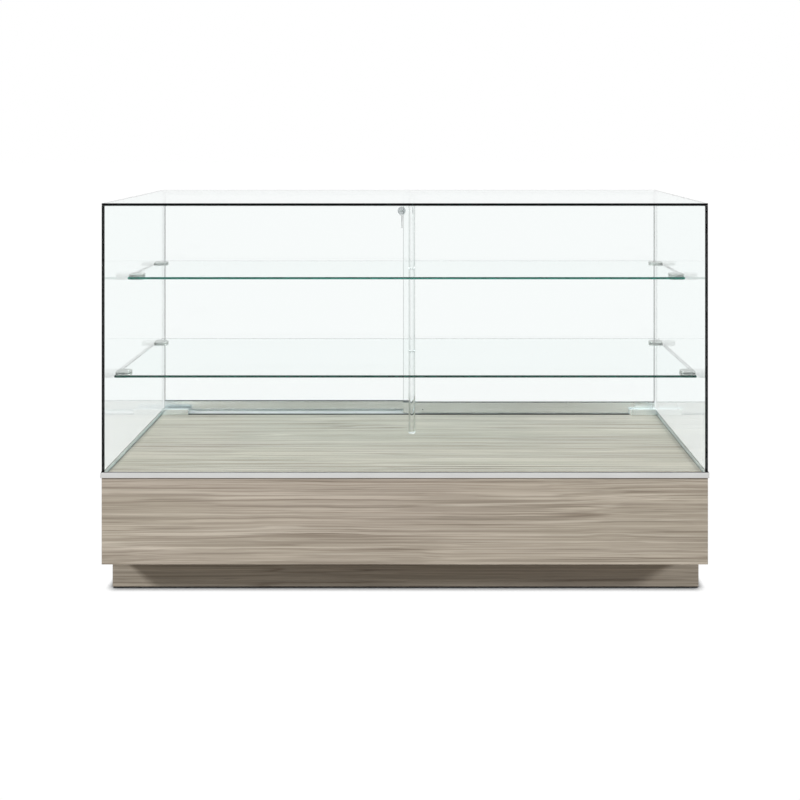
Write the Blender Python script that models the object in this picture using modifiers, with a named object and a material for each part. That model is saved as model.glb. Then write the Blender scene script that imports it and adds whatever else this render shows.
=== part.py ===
"""Glass display showcase: a glazed case with two shelves on a laminate base with a recessed plinth.

The case is closed at the back by two sliding glass doors that roll on a two-lane track. The outer
door carries a key lock. Units are metres, +Z is up, the customer's side faces -Y, and the origin
is on the floor under the middle of the whole object's outline.
"""

import math

import bmesh
import bpy
from mathutils import Matrix

# ---------------------------------------------------------------- driving dimensions
CASE_WIDTH = 1.524
CASE_DEPTH = 0.508
CASE_HEIGHT = 1.0064
GLASS = 0.006
BOARD = 0.018
GAP = 0.0003

BASE_BOTTOM = 0.0985
BASE_TOP = 0.3164
DECK_TOP = 0.3205
DECK_LAYER = 0.0038
BOTTOM_BOARD = 0.016

PLINTH_RECESS = 0.076
GLIDE_HEIGHT = 0.003
GLIDE_RADIUS = 0.008
GLIDE_X = 0.700

TRIM_TOP = 0.330
TRIM_WALL = 0.0023
TRIM_LEG = 0.001
SEAL_THICKNESS = 0.0012

SHELF_TOPS = {"lower": 0.5565, "upper": 0.7935}
SHELF_FRONTS = {"lower": 0.064, "upper": 0.165}
SHELF_REAR = 0.470
SHELF_END_GAP = 0.003
POST_X = 0.012
POST_DEPTH = 0.317
POST_RADIUS = 0.0095

CLIP_REACH = 0.039
CLIP_WIDTH = 0.030
CLIP_HEIGHT = 0.016
CLIP_WEB = 0.0024
CLIP_REAR_DEPTH = 0.412
CLIP_FRONT_DEPTHS = {"lower": 0.095, "upper": 0.200}

TRACK_FRONT = 0.478
TRACK_PLATE = 0.0015
RIB_HEIGHT = 0.009
RIB_WIDTH = 0.0024
INNER_LANE = 0.486
OUTER_LANE = 0.500
GUIDE_HEIGHT = 0.012
GUIDE_ROOF = 0.0025
GUIDE_SLOT = 0.0076
END_BLOCK_LENGTH = 0.082
END_BLOCK_HEIGHT = 0.019
END_BLOCK_DEPTH = 0.007
END_BLOCK_RADIUS = 0.001

DOOR_END = 0.753
DOOR_OVERLAP = 0.0348
DOOR_TOP_ENGAGEMENT = 0.0075
SHOE_WIDTH = 0.0115
SHOE_WALL = 0.0015
SHOE_BOTTOM = 0.004
SHOE_TOP = 0.036
SHOE_WEB_BOTTOM = 0.0225
SHOE_WEB = 0.0015

WHEEL_RADIUS = 0.007
WHEEL_GROOVE_RADIUS = 0.005
WHEEL_GROOVE_WIDTH = 0.003
WHEEL_WIDTH = 0.006
WHEEL_BORE = 0.0018
WHEEL_INSET = 0.060
AXLE_RADIUS = 0.0015
AXLE_LENGTH = 0.0109

LOCK_X = -0.023
LOCK_Z = 0.9425
LOCK_HOLE = 0.0095
BARREL_RADIUS = 0.0092
BARREL_FRONT = 0.491
BARREL_HEAD_RADIUS = 0.012
BARREL_HEAD_LENGTH = 0.016
PLUG_RADIUS = 0.006
PLUG_FRONT = 0.4993
PLUG_PROUD = 0.0005
KEYWAY_WIDTH = 0.0026
KEYWAY_HEIGHT = 0.0086
KEYWAY_FRONT = 0.501
BOLT_RADIUS = 0.003
BOLT_LENGTH = 0.0076
NUT_THICKNESS = 0.0044
NUT_RADIUS = 0.0123
NUT_NOTCH_RADIUS = 0.0111
NUT_NOTCHES = 8
NUT_LAND_DEGREES = 32
NUT_RAMP_DEGREES = 2

KEY_THICKNESS = 0.002
KEY_BLADE_HEIGHT = 0.008
KEY_BITE = 0.0016
KEY_BITES = 4
KEY_BITE_RUN = 0.4
KEY_BOW_RADIUS = 0.010
KEY_HOLE_RADIUS = 0.0025
KEY_HOLE_OFFSET = 0.0055
KEY_NECK = 0.0014
RING_RADIUS = 0.009
RING_WIRE = 0.0006

# ---------------------------------------------------------------- sizes worked out from those
HALF_WIDTH = CASE_WIDTH / 2
INNER_HALF = HALF_WIDTH - GLASS
TRIM_PROUD = TRIM_WALL + GAP
TRIM_BOTTOM = BASE_TOP + GAP
SEAL_BOTTOM = TRIM_BOTTOM + TRIM_LEG + GAP
PANE_BOTTOM = SEAL_BOTTOM + SEAL_THICKNESS + GAP
TOP_PANE_BOTTOM = CASE_HEIGHT - GLASS
PANE_TOP = TOP_PANE_BOTTOM - GAP
BOARD_INNER_HALF = HALF_WIDTH - BOARD - GAP
PLINTH_TOP = BASE_BOTTOM - GAP
PLINTH_BOTTOM = GLIDE_HEIGHT + GAP
DOOR_INNER_END = DOOR_OVERLAP / 2
DOOR_BOTTOM = DECK_TOP + SHOE_WEB_BOTTOM + SHOE_WEB + GAP
DOOR_TOP = PANE_TOP - GAP - GUIDE_HEIGHT + DOOR_TOP_ENGAGEMENT
RAIL_HALF = INNER_HALF - 2 * GAP
AXLE_Z = DECK_TOP + RIB_HEIGHT + WHEEL_GROOVE_RADIUS + GAP
BARREL_HEAD_FRONT = OUTER_LANE + GLASS / 2 + GAP
BARREL_REAR = BARREL_HEAD_FRONT + BARREL_HEAD_LENGTH
PLUG_REAR = BARREL_REAR + PLUG_PROUD
KEY_TIP = KEYWAY_FRONT + GAP
KEY_STOP = PLUG_REAR + GAP
KEY_BOW_CENTRE = KEY_STOP + KEY_NECK + KEY_BOW_RADIUS - KEY_NECK / 2
KEY_HOLE = KEY_BOW_CENTRE + KEY_HOLE_OFFSET
RING_DROP = KEY_HOLE_RADIUS - RING_WIRE - GAP
RING_TOP_Z = LOCK_Z - RING_DROP
RING_BOTTOM_Z = RING_TOP_Z - 2 * RING_RADIUS
REAR_MOST = KEY_HOLE + KEY_BOW_RADIUS
FRONT_Y = -(REAR_MOST - TRIM_PROUD) / 2

# local z along world X with the outline in YZ, and local z along world -Y with it in XZ
ALONG_X = Matrix(((0, 0, 1), (1, 0, 0), (0, 1, 0))).to_4x4()
ALONG_Y = Matrix(((1, 0, 0), (0, 0, -1), (0, 1, 0))).to_4x4()
# local +Z of a turned piece along world +Y
TURNED_TO_Y = Matrix.Rotation(-math.pi / 2, 4, "X")


def clear_scene():
    for item in list(bpy.data.objects):
        bpy.data.objects.remove(item, do_unlink=True)


def collection(name):
    group = bpy.data.collections.new(name)
    bpy.context.scene.collection.children.link(group)
    return group


def material(name, colour, roughness, metallic=0.0, transmission=0.0):
    made = bpy.data.materials.new(name)
    made.use_nodes = True
    shader = made.node_tree.nodes["Principled BSDF"]
    shader.inputs["Base Color"].default_value = (*colour, 1.0)
    shader.inputs["Roughness"].default_value = roughness
    shader.inputs["Metallic"].default_value = metallic
    shader.inputs["Transmission Weight"].default_value = transmission
    made.diffuse_color = (*colour, 1.0 - 0.7 * transmission)
    return made


clear_scene()
CASE = collection("glass_display_showcase")
CUTTERS = collection("cutters")

CLEAR_GLASS = material("clear_glass", (0.86, 0.95, 0.92), 0.02, transmission=1.0)
ACRYLIC = material("acrylic", (0.94, 0.96, 0.96), 0.05, transmission=1.0)
LAMINATE = material("laminate", (0.38, 0.34, 0.28), 0.45)
CORE_BOARD = material("core_board", (0.52, 0.42, 0.30), 0.8)
ALUMINIUM = material("aluminium", (0.72, 0.73, 0.73), 0.3, metallic=1.0)
SATIN_NICKEL = material("satin_nickel", (0.66, 0.65, 0.62), 0.3, metallic=1.0)
SEAL_RUBBER = material("seal_rubber", (0.02, 0.022, 0.022), 0.7)
NYLON = material("nylon", (0.75, 0.75, 0.72), 0.5)
STEEL = material("steel", (0.58, 0.58, 0.58), 0.25, metallic=1.0)
CHROME = material("chrome", (0.8, 0.8, 0.8), 0.1, metallic=1.0)


# ---------------------------------------------------------------- ways of making a piece
def depth(distance):
    """World Y of a place that far behind the front pane's outer face."""
    return FRONT_Y + distance


def place(name, mesh, finish, matrix, group=CASE):
    if not mesh.materials:
        mesh.materials.append(finish)
    made = bpy.data.objects.new(name, mesh)
    group.objects.link(made)
    made.matrix_world = matrix
    return made


def hide_cutter(cutter):
    cutter.hide_render = True
    cutter.display_type = "WIRE"
    return cutter


def box(name, x, near, z, finish, group=CASE):
    """A board or pane: x, near and z are (low, high); near is measured back from the front face."""
    y = (depth(near[0]), depth(near[1]))
    mesh = bpy.data.meshes.new(name)
    shape = bmesh.new()
    bmesh.ops.create_cube(shape, size=1.0)
    bmesh.ops.scale(shape, vec=(x[1] - x[0], y[1] - y[0], z[1] - z[0]), verts=shape.verts)
    shape.to_mesh(mesh)
    shape.free()
    centre = (sum(x) / 2, sum(y) / 2, sum(z) / 2)
    return place(name, mesh, finish, Matrix.Translation(centre), group)


def round_bar(name, centre, radius, length, turn, finish, sides=24, group=CASE):
    """A plain cylinder whose length runs along the local Z of turn."""
    mesh = bpy.data.meshes.new(name)
    shape = bmesh.new()
    bmesh.ops.create_cone(
        shape, cap_ends=True, segments=sides, radius1=radius, radius2=radius, depth=length
    )
    shape.to_mesh(mesh)
    shape.free()
    mesh.shade_smooth()
    mesh.set_sharp_from_angle(angle=math.radians(40))
    return place(name, mesh, finish, Matrix.Translation(centre) @ turn, group)


def baked(source, name):
    """The evaluated shape of an object as a welded mesh. The object itself is removed."""
    seen = source.evaluated_get(bpy.context.evaluated_depsgraph_get())
    mesh = bpy.data.meshes.new_from_object(seen)
    mesh.name = name
    shape = bmesh.new()
    shape.from_mesh(mesh)
    bmesh.ops.remove_doubles(shape, verts=shape.verts, dist=0.000001)
    shape.to_mesh(mesh)
    shape.free()
    bpy.data.objects.remove(source, do_unlink=True)
    return mesh


def outline_mesh(name, outlines, length):
    """Flat closed outlines, the later ones being holes, extruded to a length about local z = 0."""
    curve = bpy.data.curves.new(name, "CURVE")
    curve.dimensions = "2D"
    curve.fill_mode = "BOTH"
    curve.extrude = length / 2
    for outline in outlines:
        spline = curve.splines.new("POLY")
        spline.points.add(len(outline) - 1)
        for point, (x, y) in zip(spline.points, outline):
            point.co = (x, y, 0, 1)
        spline.use_cyclic_u = True
    drawn = bpy.data.objects.new(name + "_outline", curve)
    CUTTERS.objects.link(drawn)
    bpy.context.view_layer.update()
    return baked(drawn, name)


def turned_mesh(name, profile, steps=24):
    """A closed (radius, height) profile, outer side running down, turned about local Z."""
    mesh = bpy.data.meshes.new(name)
    count = len(profile)
    edges = [(i, (i + 1) % count) for i in range(count)]
    if profile[0][0] == 0:
        edges.pop()
    mesh.from_pydata([(r, 0, h) for r, h in profile], edges, [])
    blank = bpy.data.objects.new(name + "_profile", mesh)
    CUTTERS.objects.link(blank)
    screw = blank.modifiers.new("turn", "SCREW")
    screw.steps = steps
    screw.render_steps = steps
    screw.use_merge_vertices = True
    screw.merge_threshold = 0.00001
    screw.use_smooth_shade = True
    bpy.context.view_layer.update()
    made = baked(blank, name)
    made.set_sharp_from_angle(angle=math.radians(40))
    return made


def boolean(target, cutter, operation="DIFFERENCE"):
    step = target.modifiers.new("cut_" + cutter.name, "BOOLEAN")
    step.operation = operation
    step.object = cutter
    step.solver = "EXACT"


def arc(centre, radius, start, stop, steps):
    """Points on an arc, in degrees, both ends included."""
    angles = [math.radians(start + (stop - start) * i / steps) for i in range(steps + 1)]
    return [(centre[0] + radius * math.cos(a), centre[1] + radius * math.sin(a)) for a in angles]


def mitre(made, end, slope):
    """Slides the vertices at one end of an extrusion so that the end lies at 45 degrees."""
    for vertex in made.data.vertices:
        if vertex.co.z * end > 0:
            vertex.co.z += slope * vertex.co.x


# ---------------------------------------------------------------- laminate base and plinth
def make_base():
    wall = (BASE_BOTTOM, BASE_TOP)
    inside = (-BOARD_INNER_HALF, BOARD_INNER_HALF)
    between = (BOARD + GAP, CASE_DEPTH - BOARD - GAP)
    box("base_front_panel", (-HALF_WIDTH, HALF_WIDTH), (0, BOARD), wall, LAMINATE)
    behind_front = (BOARD + GAP, CASE_DEPTH)
    box("base_left_panel", (-HALF_WIDTH, BOARD - HALF_WIDTH), behind_front, wall, LAMINATE)
    box("base_right_panel", (HALF_WIDTH - BOARD, HALF_WIDTH), behind_front, wall, LAMINATE)
    box("base_rear_panel", inside, (CASE_DEPTH - BOARD, CASE_DEPTH), wall, LAMINATE)

    bottom = (BASE_BOTTOM, BASE_BOTTOM + BOTTOM_BOARD)
    box("base_bottom_panel", inside, between, bottom, CORE_BOARD)

    deck_layer = (DECK_TOP - DECK_LAYER, DECK_TOP)
    over_walls = (-INNER_HALF + GAP, INNER_HALF - GAP)
    deck = box("deck_panel", over_walls, (GLASS + GAP, CASE_DEPTH), deck_layer, LAMINATE)
    body = (DECK_TOP - BOARD, DECK_TOP - DECK_LAYER / 2)
    boolean(deck, hide_cutter(box("deck_body", inside, between, body, LAMINATE, CUTTERS)), "UNION")

    brace = (bottom[1] + GAP, DECK_TOP - BOARD - GAP)
    between_walls = (between[0] + GAP, between[1] - GAP)
    box("base_centre_brace", (-BOARD / 2, BOARD / 2), between_walls, brace, CORE_BOARD)


def make_plinth():
    wall = (PLINTH_BOTTOM, PLINTH_TOP)
    front = (PLINTH_RECESS, PLINTH_RECESS + BOARD)
    rear = (CASE_DEPTH - BOARD, CASE_DEPTH)
    sides = (front[1] + GAP, CASE_DEPTH)
    inside = (-BOARD_INNER_HALF, BOARD_INNER_HALF)
    box("plinth_front", (-HALF_WIDTH, HALF_WIDTH), front, wall, LAMINATE)
    box("plinth_rear", inside, rear, wall, LAMINATE)
    box("plinth_left", (-HALF_WIDTH, BOARD - HALF_WIDTH), sides, wall, LAMINATE)
    box("plinth_right", (HALF_WIDTH - BOARD, HALF_WIDTH), sides, wall, LAMINATE)
    for row, boards in (("front", front), ("rear", rear)):
        for side, x in (("left", -GLIDE_X), ("right", GLIDE_X)):
            centre = (x, depth(sum(boards) / 2), GLIDE_HEIGHT / 2)
            name = f"glide_{row}_{side}"
            round_bar(name, centre, GLIDE_RADIUS, GLIDE_HEIGHT, Matrix(), NYLON)


# ---------------------------------------------------------------- fixed glass, trim and seal
def make_glass():
    wall = (PANE_BOTTOM, PANE_TOP)
    behind_front = (GLASS + GAP, CASE_DEPTH)
    full = (-HALF_WIDTH, HALF_WIDTH)
    box("front_pane", full, (0, GLASS), wall, CLEAR_GLASS)
    box("left_pane", (-HALF_WIDTH, -INNER_HALF), behind_front, wall, CLEAR_GLASS)
    box("right_pane", (INNER_HALF, HALF_WIDTH), behind_front, wall, CLEAR_GLASS)
    box("top_pane", full, (0, CASE_DEPTH), (TOP_PANE_BOTTOM, CASE_HEIGHT), CLEAR_GLASS)
    shelf_half = INNER_HALF - SHELF_END_GAP
    for name, top in SHELF_TOPS.items():
        span = (SHELF_FRONTS[name], SHELF_REAR)
        box(f"{name}_shelf", (-shelf_half, shelf_half), span, (top - GLASS, top), CLEAR_GLASS)


def trim_outline(side):
    """The angle section: a lip outside the glass and a thin leg under it. Local x 0 is the face."""
    height = TRIM_TOP - TRIM_BOTTOM
    section = [(-TRIM_PROUD, 0), (GLASS, 0), (GLASS, TRIM_LEG)]
    section += [(-GAP, TRIM_LEG), (-GAP, height), (-TRIM_PROUD, height)]
    return [(side * x, z) for x, z in section]


def make_trim():
    mesh = outline_mesh("trim_front", [trim_outline(1)], CASE_WIDTH - GAP)
    place_at = Matrix.Translation((0, depth(0), TRIM_BOTTOM))
    front = place("trim_front", mesh, ALUMINIUM, place_at @ ALONG_X)
    mitre(front, 1, -1)
    mitre(front, -1, 1)
    for name, side in (("trim_left", 1), ("trim_right", -1)):
        mesh = outline_mesh(name, [trim_outline(side)], CASE_DEPTH - GAP)
        middle = (-side * HALF_WIDTH, depth((CASE_DEPTH + GAP) / 2), TRIM_BOTTOM)
        strip = place(name, mesh, ALUMINIUM, Matrix.Translation(middle) @ ALONG_Y)
        mitre(strip, 1, -side)

    outer, inner = HALF_WIDTH, INNER_HALF
    rear, front_inner = CASE_DEPTH, GLASS
    plan = [(-outer, 0), (outer, 0), (outer, rear), (inner, rear), (inner, front_inner)]
    plan += [(-inner, front_inner), (-inner, rear), (-outer, rear)]
    mesh = outline_mesh("glazing_seal", [plan], SEAL_THICKNESS)
    at = Matrix.Translation((0, depth(0), SEAL_BOTTOM + SEAL_THICKNESS / 2))
    place("glazing_seal", mesh, SEAL_RUBBER, at)


# ---------------------------------------------------------------- what carries the shelves
def make_posts():
    lower, upper = SHELF_TOPS["lower"], SHELF_TOPS["upper"]
    levels = {
        "post_lower": (DECK_TOP, lower - GLASS),
        "post_middle": (lower, upper - GLASS),
        "post_upper": (upper, TOP_PANE_BOTTOM),
    }
    for name, (low, high) in levels.items():
        centre = (POST_X, depth(POST_DEPTH), (low + high) / 2)
        round_bar(name, centre, POST_RADIUS, high - low - 2 * GAP, Matrix(), ACRYLIC, sides=32)


def make_clips():
    """Half-round clips: the flat back is on the side pane, and the shelf lies in the slot."""
    straight = CLIP_REACH - CLIP_WIDTH / 2
    plan = [(0, CLIP_WIDTH / 2), (0, -CLIP_WIDTH / 2)]
    plan += arc((straight, 0), CLIP_WIDTH / 2, -90, 90, 14)
    solid = outline_mesh("shelf_clip", [plan], CLIP_HEIGHT)
    blank = place("shelf_clip_blank", solid, SATIN_NICKEL, Matrix.Translation((0, depth(0), 0)))
    slot = (-GLASS / 2 - GAP, GLASS / 2 + GAP)
    past_end, past_side = (CLIP_WEB, 2 * CLIP_REACH), (-CLIP_WIDTH, CLIP_WIDTH)
    cutter = box("clip_slot", past_end, past_side, slot, SATIN_NICKEL, CUTTERS)
    boolean(blank, hide_cutter(cutter))
    bpy.context.view_layer.update()
    mesh = baked(blank, "shelf_clip")
    bpy.data.objects.remove(cutter, do_unlink=True)
    turns = {"left": Matrix(), "right": Matrix.Rotation(math.pi, 4, "Z")}
    for shelf, top in SHELF_TOPS.items():
        for row, distance in (("front", CLIP_FRONT_DEPTHS[shelf]), ("rear", CLIP_REAR_DEPTH)):
            for side, turn in turns.items():
                x = (INNER_HALF - GAP) * (1 if side == "right" else -1)
                at = Matrix.Translation((x, depth(distance), top - GLASS / 2))
                place(f"clip_{shelf}_{row}_{side}", mesh, SATIN_NICKEL, at @ turn)


# ---------------------------------------------------------------- door track and guide
def make_track():
    """A plate with two ribs that the wheels run on, a grooved guide overhead and two end blocks."""
    low, high = TRACK_FRONT, CASE_DEPTH
    section = [(high, GAP), (high, TRACK_PLATE)]
    for lane in (OUTER_LANE, INNER_LANE):
        rear, front = lane + RIB_WIDTH / 2, lane - RIB_WIDTH / 2
        section += [(rear, TRACK_PLATE), (rear, RIB_HEIGHT)]
        section += [(front, RIB_HEIGHT), (front, TRACK_PLATE)]
    section += [(low, TRACK_PLATE), (low, GAP)]
    mesh = outline_mesh("door_track_lower", [section], 2 * RAIL_HALF)
    at = Matrix.Translation((0, depth(0), DECK_TOP))
    place("door_track_lower", mesh, ALUMINIUM, at @ ALONG_X)

    section = [(high, -GUIDE_HEIGHT), (high, 0), (low, 0), (low, -GUIDE_HEIGHT)]
    for lane in (INNER_LANE, OUTER_LANE):
        front, rear = lane - GUIDE_SLOT / 2, lane + GUIDE_SLOT / 2
        section += [(front, -GUIDE_HEIGHT), (front, -GUIDE_ROOF)]
        section += [(rear, -GUIDE_ROOF), (rear, -GUIDE_HEIGHT)]
    mesh = outline_mesh("door_guide_upper", [section], 2 * RAIL_HALF)
    at = Matrix.Translation((0, depth(0), PANE_TOP))
    place("door_guide_upper", mesh, ACRYLIC, at @ ALONG_X)

    near = (TRACK_FRONT - GAP - END_BLOCK_DEPTH, TRACK_FRONT - GAP)
    height = (DECK_TOP + GAP, DECK_TOP + END_BLOCK_HEIGHT)
    for name, side in (("track_end_block_left", -1), ("track_end_block_right", 1)):
        ends = sorted((side * RAIL_HALF, side * (RAIL_HALF - END_BLOCK_LENGTH)))
        block = box(name, ends, near, height, ALUMINIUM)
        bevel = block.modifiers.new("rounded", "BEVEL")
        bevel.width = END_BLOCK_RADIUS
        bevel.segments = 2


# ---------------------------------------------------------------- sliding doors
def shoe_outline():
    """An H section: the glass stands in the upper channel, the wheels hide in the lower one."""
    out = SHOE_WIDTH / 2
    channel = out - SHOE_WALL
    pocket = GLASS / 2 + GAP
    web_top = SHOE_WEB_BOTTOM + SHOE_WEB
    section = [(out, SHOE_BOTTOM), (out, SHOE_TOP), (pocket, SHOE_TOP), (pocket, web_top)]
    section += [(-pocket, web_top), (-pocket, SHOE_TOP), (-out, SHOE_TOP), (-out, SHOE_BOTTOM)]
    section += [(-channel, SHOE_BOTTOM), (-channel, SHOE_WEB_BOTTOM)]
    section += [(channel, SHOE_WEB_BOTTOM), (channel, SHOE_BOTTOM)]
    return section


def wheel_profile():
    """A grooved wheel with a bore, as (radius, height), its outer side running down."""
    half, groove = WHEEL_WIDTH / 2, WHEEL_GROOVE_WIDTH / 2
    slope = WHEEL_RADIUS - WHEEL_GROOVE_RADIUS
    top = [(WHEEL_BORE, half), (WHEEL_RADIUS, half), (WHEEL_RADIUS, groove + slope / 3)]
    bed = [(WHEEL_GROOVE_RADIUS, groove), (WHEEL_GROOVE_RADIUS, -groove)]
    bottom = [(r, -h) for r, h in reversed(top)]
    return top + bed + bottom


def make_doors():
    wheel_mesh = turned_mesh("door_wheel", wheel_profile())
    hole_radius = AXLE_RADIUS + GAP
    for side, sign, lane in (("left", -1, OUTER_LANE), ("right", 1, INNER_LANE)):
        outer, inner = sign * DOOR_END, -sign * DOOR_INNER_END
        across = sorted((outer, inner))
        thick = (lane - GLASS / 2, lane + GLASS / 2)
        box(f"{side}_door_glass", across, thick, (DOOR_BOTTOM, DOOR_TOP), CLEAR_GLASS)
        mesh = outline_mesh(f"{side}_door_shoe", [shoe_outline()], across[1] - across[0])
        at = Matrix.Translation((sum(across) / 2, depth(lane), DECK_TOP))
        shoe = place(f"{side}_door_shoe", mesh, ALUMINIUM, at @ ALONG_X)
        for end, x in (("outer", outer - sign * WHEEL_INSET), ("inner", inner + sign * WHEEL_INSET)):
            centre = (x, depth(lane), AXLE_Z)
            name = f"{side}_door_wheel_{end}"
            place(name, wheel_mesh, NYLON, Matrix.Translation(centre) @ TURNED_TO_Y)
            name = f"{side}_door_axle_{end}"
            round_bar(name, centre, AXLE_RADIUS, AXLE_LENGTH, TURNED_TO_Y, STEEL, sides=16)
            hole = round_bar(
                f"{side}_axle_hole_{end}", centre, hole_radius, 2 * SHOE_WIDTH, TURNED_TO_Y, STEEL,
                sides=16, group=CUTTERS,
            )
            boolean(shoe, hide_cutter(hole))


# ---------------------------------------------------------------- lock and keys
def key_outlines():
    """A key lying along local x from its tip: a bitted blade, a round bow and the bow's hole."""
    half = KEY_BLADE_HEIGHT / 2
    length = KEY_STOP - KEY_TIP
    bow_x = KEY_BOW_CENTRE - KEY_TIP
    pitch = length / (KEY_BITES + 2)
    blade = [(0, half - KEY_BITE), (0, -half), (length, -half)]
    open_angle = math.degrees(math.asin(half / KEY_BOW_RADIUS))
    bow = arc((bow_x, 0), KEY_BOW_RADIUS, -180 + open_angle, 180 - open_angle, 24)
    bites = [(length, half)]
    for i in range(KEY_BITES, 0, -1):
        deep = KEY_BITE if i % 2 else KEY_BITE / 2
        bites += [(pitch * (i + KEY_BITE_RUN), half), (pitch * i, half - deep)]
    hole = arc((bow_x + KEY_HOLE_OFFSET, 0), KEY_HOLE_RADIUS, 0, 360, 16)[:-1]
    return [blade + bow + bites, hole]


def make_lock():
    centre = Matrix.Translation((LOCK_X, 0, LOCK_Z))
    hole = round_bar(
        "lock_hole", (LOCK_X, depth(OUTER_LANE), LOCK_Z), LOCK_HOLE, 4 * GLASS, TURNED_TO_Y,
        CHROME, sides=32, group=CUTTERS,
    )
    boolean(bpy.data.objects["left_door_glass"], hide_cutter(hole))

    bore, channel = PLUG_RADIUS + GAP, BOLT_RADIUS + GAP
    bore_floor = PLUG_FRONT - GAP
    barrel = [
        (bore, BARREL_REAR),
        (BARREL_HEAD_RADIUS, BARREL_REAR),
        (BARREL_HEAD_RADIUS, BARREL_HEAD_FRONT),
        (BARREL_RADIUS, BARREL_HEAD_FRONT),
        (BARREL_RADIUS, BARREL_FRONT),
        (channel, BARREL_FRONT),
        (channel, bore_floor),
        (bore, bore_floor),
    ]
    at = centre @ Matrix.Translation((0, depth(0), 0)) @ TURNED_TO_Y
    place("lock_barrel", turned_mesh("lock_barrel", barrel, 32), CHROME, at)

    rim = []
    pitch = 360 / NUT_NOTCHES
    for i in range(NUT_NOTCHES):
        start = pitch * i
        land_end = start + NUT_LAND_DEGREES
        rim += arc((0, 0), NUT_RADIUS, start, land_end, 3)
        notch = (land_end + NUT_RAMP_DEGREES, start + pitch - NUT_RAMP_DEGREES)
        rim += arc((0, 0), NUT_NOTCH_RADIUS, *notch, 1)
    thread = arc((0, 0), LOCK_HOLE, 0, 360, 32)[:-1]
    nut_rear = OUTER_LANE - GLASS / 2 - GAP
    middle = Matrix.Translation((0, depth(nut_rear - NUT_THICKNESS / 2), 0))
    mesh = outline_mesh("lock_nut", [rim, thread], NUT_THICKNESS)
    place("lock_nut", mesh, CHROME, centre @ middle @ ALONG_Y)

    length = PLUG_REAR - PLUG_FRONT
    at = (LOCK_X, depth(PLUG_FRONT + length / 2), LOCK_Z)
    plug = round_bar("lock_plug", at, PLUG_RADIUS, length, TURNED_TO_Y, STEEL)
    wide = (LOCK_X - KEYWAY_WIDTH / 2, LOCK_X + KEYWAY_WIDTH / 2)
    high = (LOCK_Z - KEYWAY_HEIGHT / 2, LOCK_Z + KEYWAY_HEIGHT / 2)
    slot = (KEYWAY_FRONT, PLUG_REAR + GLASS)
    boolean(plug, hide_cutter(box("keyway", wide, slot, high, STEEL, CUTTERS)))

    bolt_middle = BARREL_FRONT + GAP + BOLT_LENGTH / 2
    at = (LOCK_X, depth(bolt_middle), LOCK_Z)
    round_bar("lock_bolt", at, BOLT_RADIUS, BOLT_LENGTH, TURNED_TO_Y, STEEL)


def make_keys():
    """One key stays in the plug, and the ring through its bow carries the spare key, edge on."""
    mesh = outline_mesh("key", key_outlines(), KEY_THICKNESS)
    in_plug = Matrix.Translation((LOCK_X, depth(KEY_TIP), LOCK_Z)) @ ALONG_X
    place("key", mesh, STEEL, in_plug)

    bpy.ops.mesh.primitive_torus_add(
        major_segments=28, minor_segments=8, major_radius=RING_RADIUS, minor_radius=RING_WIRE
    )
    ring = bpy.context.object
    ring.name = ring.data.name = "key_ring"
    for group in list(ring.users_collection):
        group.objects.unlink(ring)
    CASE.objects.link(ring)
    ring.data.materials.append(STEEL)
    ring.data.transform(TURNED_TO_Y)
    ring.data.transform(Matrix.Translation((0, 0, -RING_RADIUS)))
    ring.data.shade_smooth()
    ring.location = (LOCK_X, depth(KEY_HOLE), RING_TOP_Z)

    hanging = mesh.copy()
    hole_from_tip = KEY_HOLE - KEY_TIP
    hanging.transform(Matrix.Translation((-hole_from_tip, 0, 0)))
    hanging.transform(Matrix.Rotation(math.pi / 2, 4, "Z"))
    hanging.transform(Matrix.Translation((0, -RING_DROP, 0)))
    at = Matrix.Translation((LOCK_X, depth(KEY_HOLE), RING_BOTTOM_Z))
    place("spare_key", hanging, STEEL, at @ ALONG_X)


make_base()
make_plinth()
make_glass()
make_trim()
make_posts()
make_clips()
make_track()
make_doors()
make_lock()
make_keys()
print("pieces made:", len(CASE.objects))
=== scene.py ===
# %% [markdown]
# # Glass display showcase
# A shop counter: a clear glass case with two glass shelves, standing on a laminate base with a
# recessed plinth, and closed at the back by two sliding glass doors with a lock. The measured
# model of it is the frame. Everything made here is placed from the frame's own boxes, so that no
# size is written twice, and each finished piece rides on the body that carries it.

# %% Load the frame
import math

import bpy
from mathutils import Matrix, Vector


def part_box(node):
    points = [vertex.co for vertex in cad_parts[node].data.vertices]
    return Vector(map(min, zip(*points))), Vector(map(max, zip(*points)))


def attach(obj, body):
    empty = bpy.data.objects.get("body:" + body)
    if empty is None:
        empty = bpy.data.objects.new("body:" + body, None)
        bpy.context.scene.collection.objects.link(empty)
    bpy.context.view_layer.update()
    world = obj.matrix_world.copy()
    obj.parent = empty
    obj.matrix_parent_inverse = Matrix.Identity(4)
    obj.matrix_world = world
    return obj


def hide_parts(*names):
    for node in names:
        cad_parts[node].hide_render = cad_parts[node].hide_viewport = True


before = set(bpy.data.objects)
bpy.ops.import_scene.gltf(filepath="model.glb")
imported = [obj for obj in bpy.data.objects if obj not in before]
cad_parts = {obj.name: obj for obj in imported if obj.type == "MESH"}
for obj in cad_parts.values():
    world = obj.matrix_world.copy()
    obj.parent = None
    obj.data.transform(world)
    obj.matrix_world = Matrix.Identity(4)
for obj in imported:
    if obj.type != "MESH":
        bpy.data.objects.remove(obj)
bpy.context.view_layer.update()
case_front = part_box("top_pane")[0].y

# %% [markdown]
# ## Camera
# The counter is seen from the customer's side, a little above its top and very slightly to the
# right of its middle. The camera is level, so that upright edges stay upright, and the lens is
# shifted down instead of being tilted, as is usual for pictures of furniture.

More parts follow.
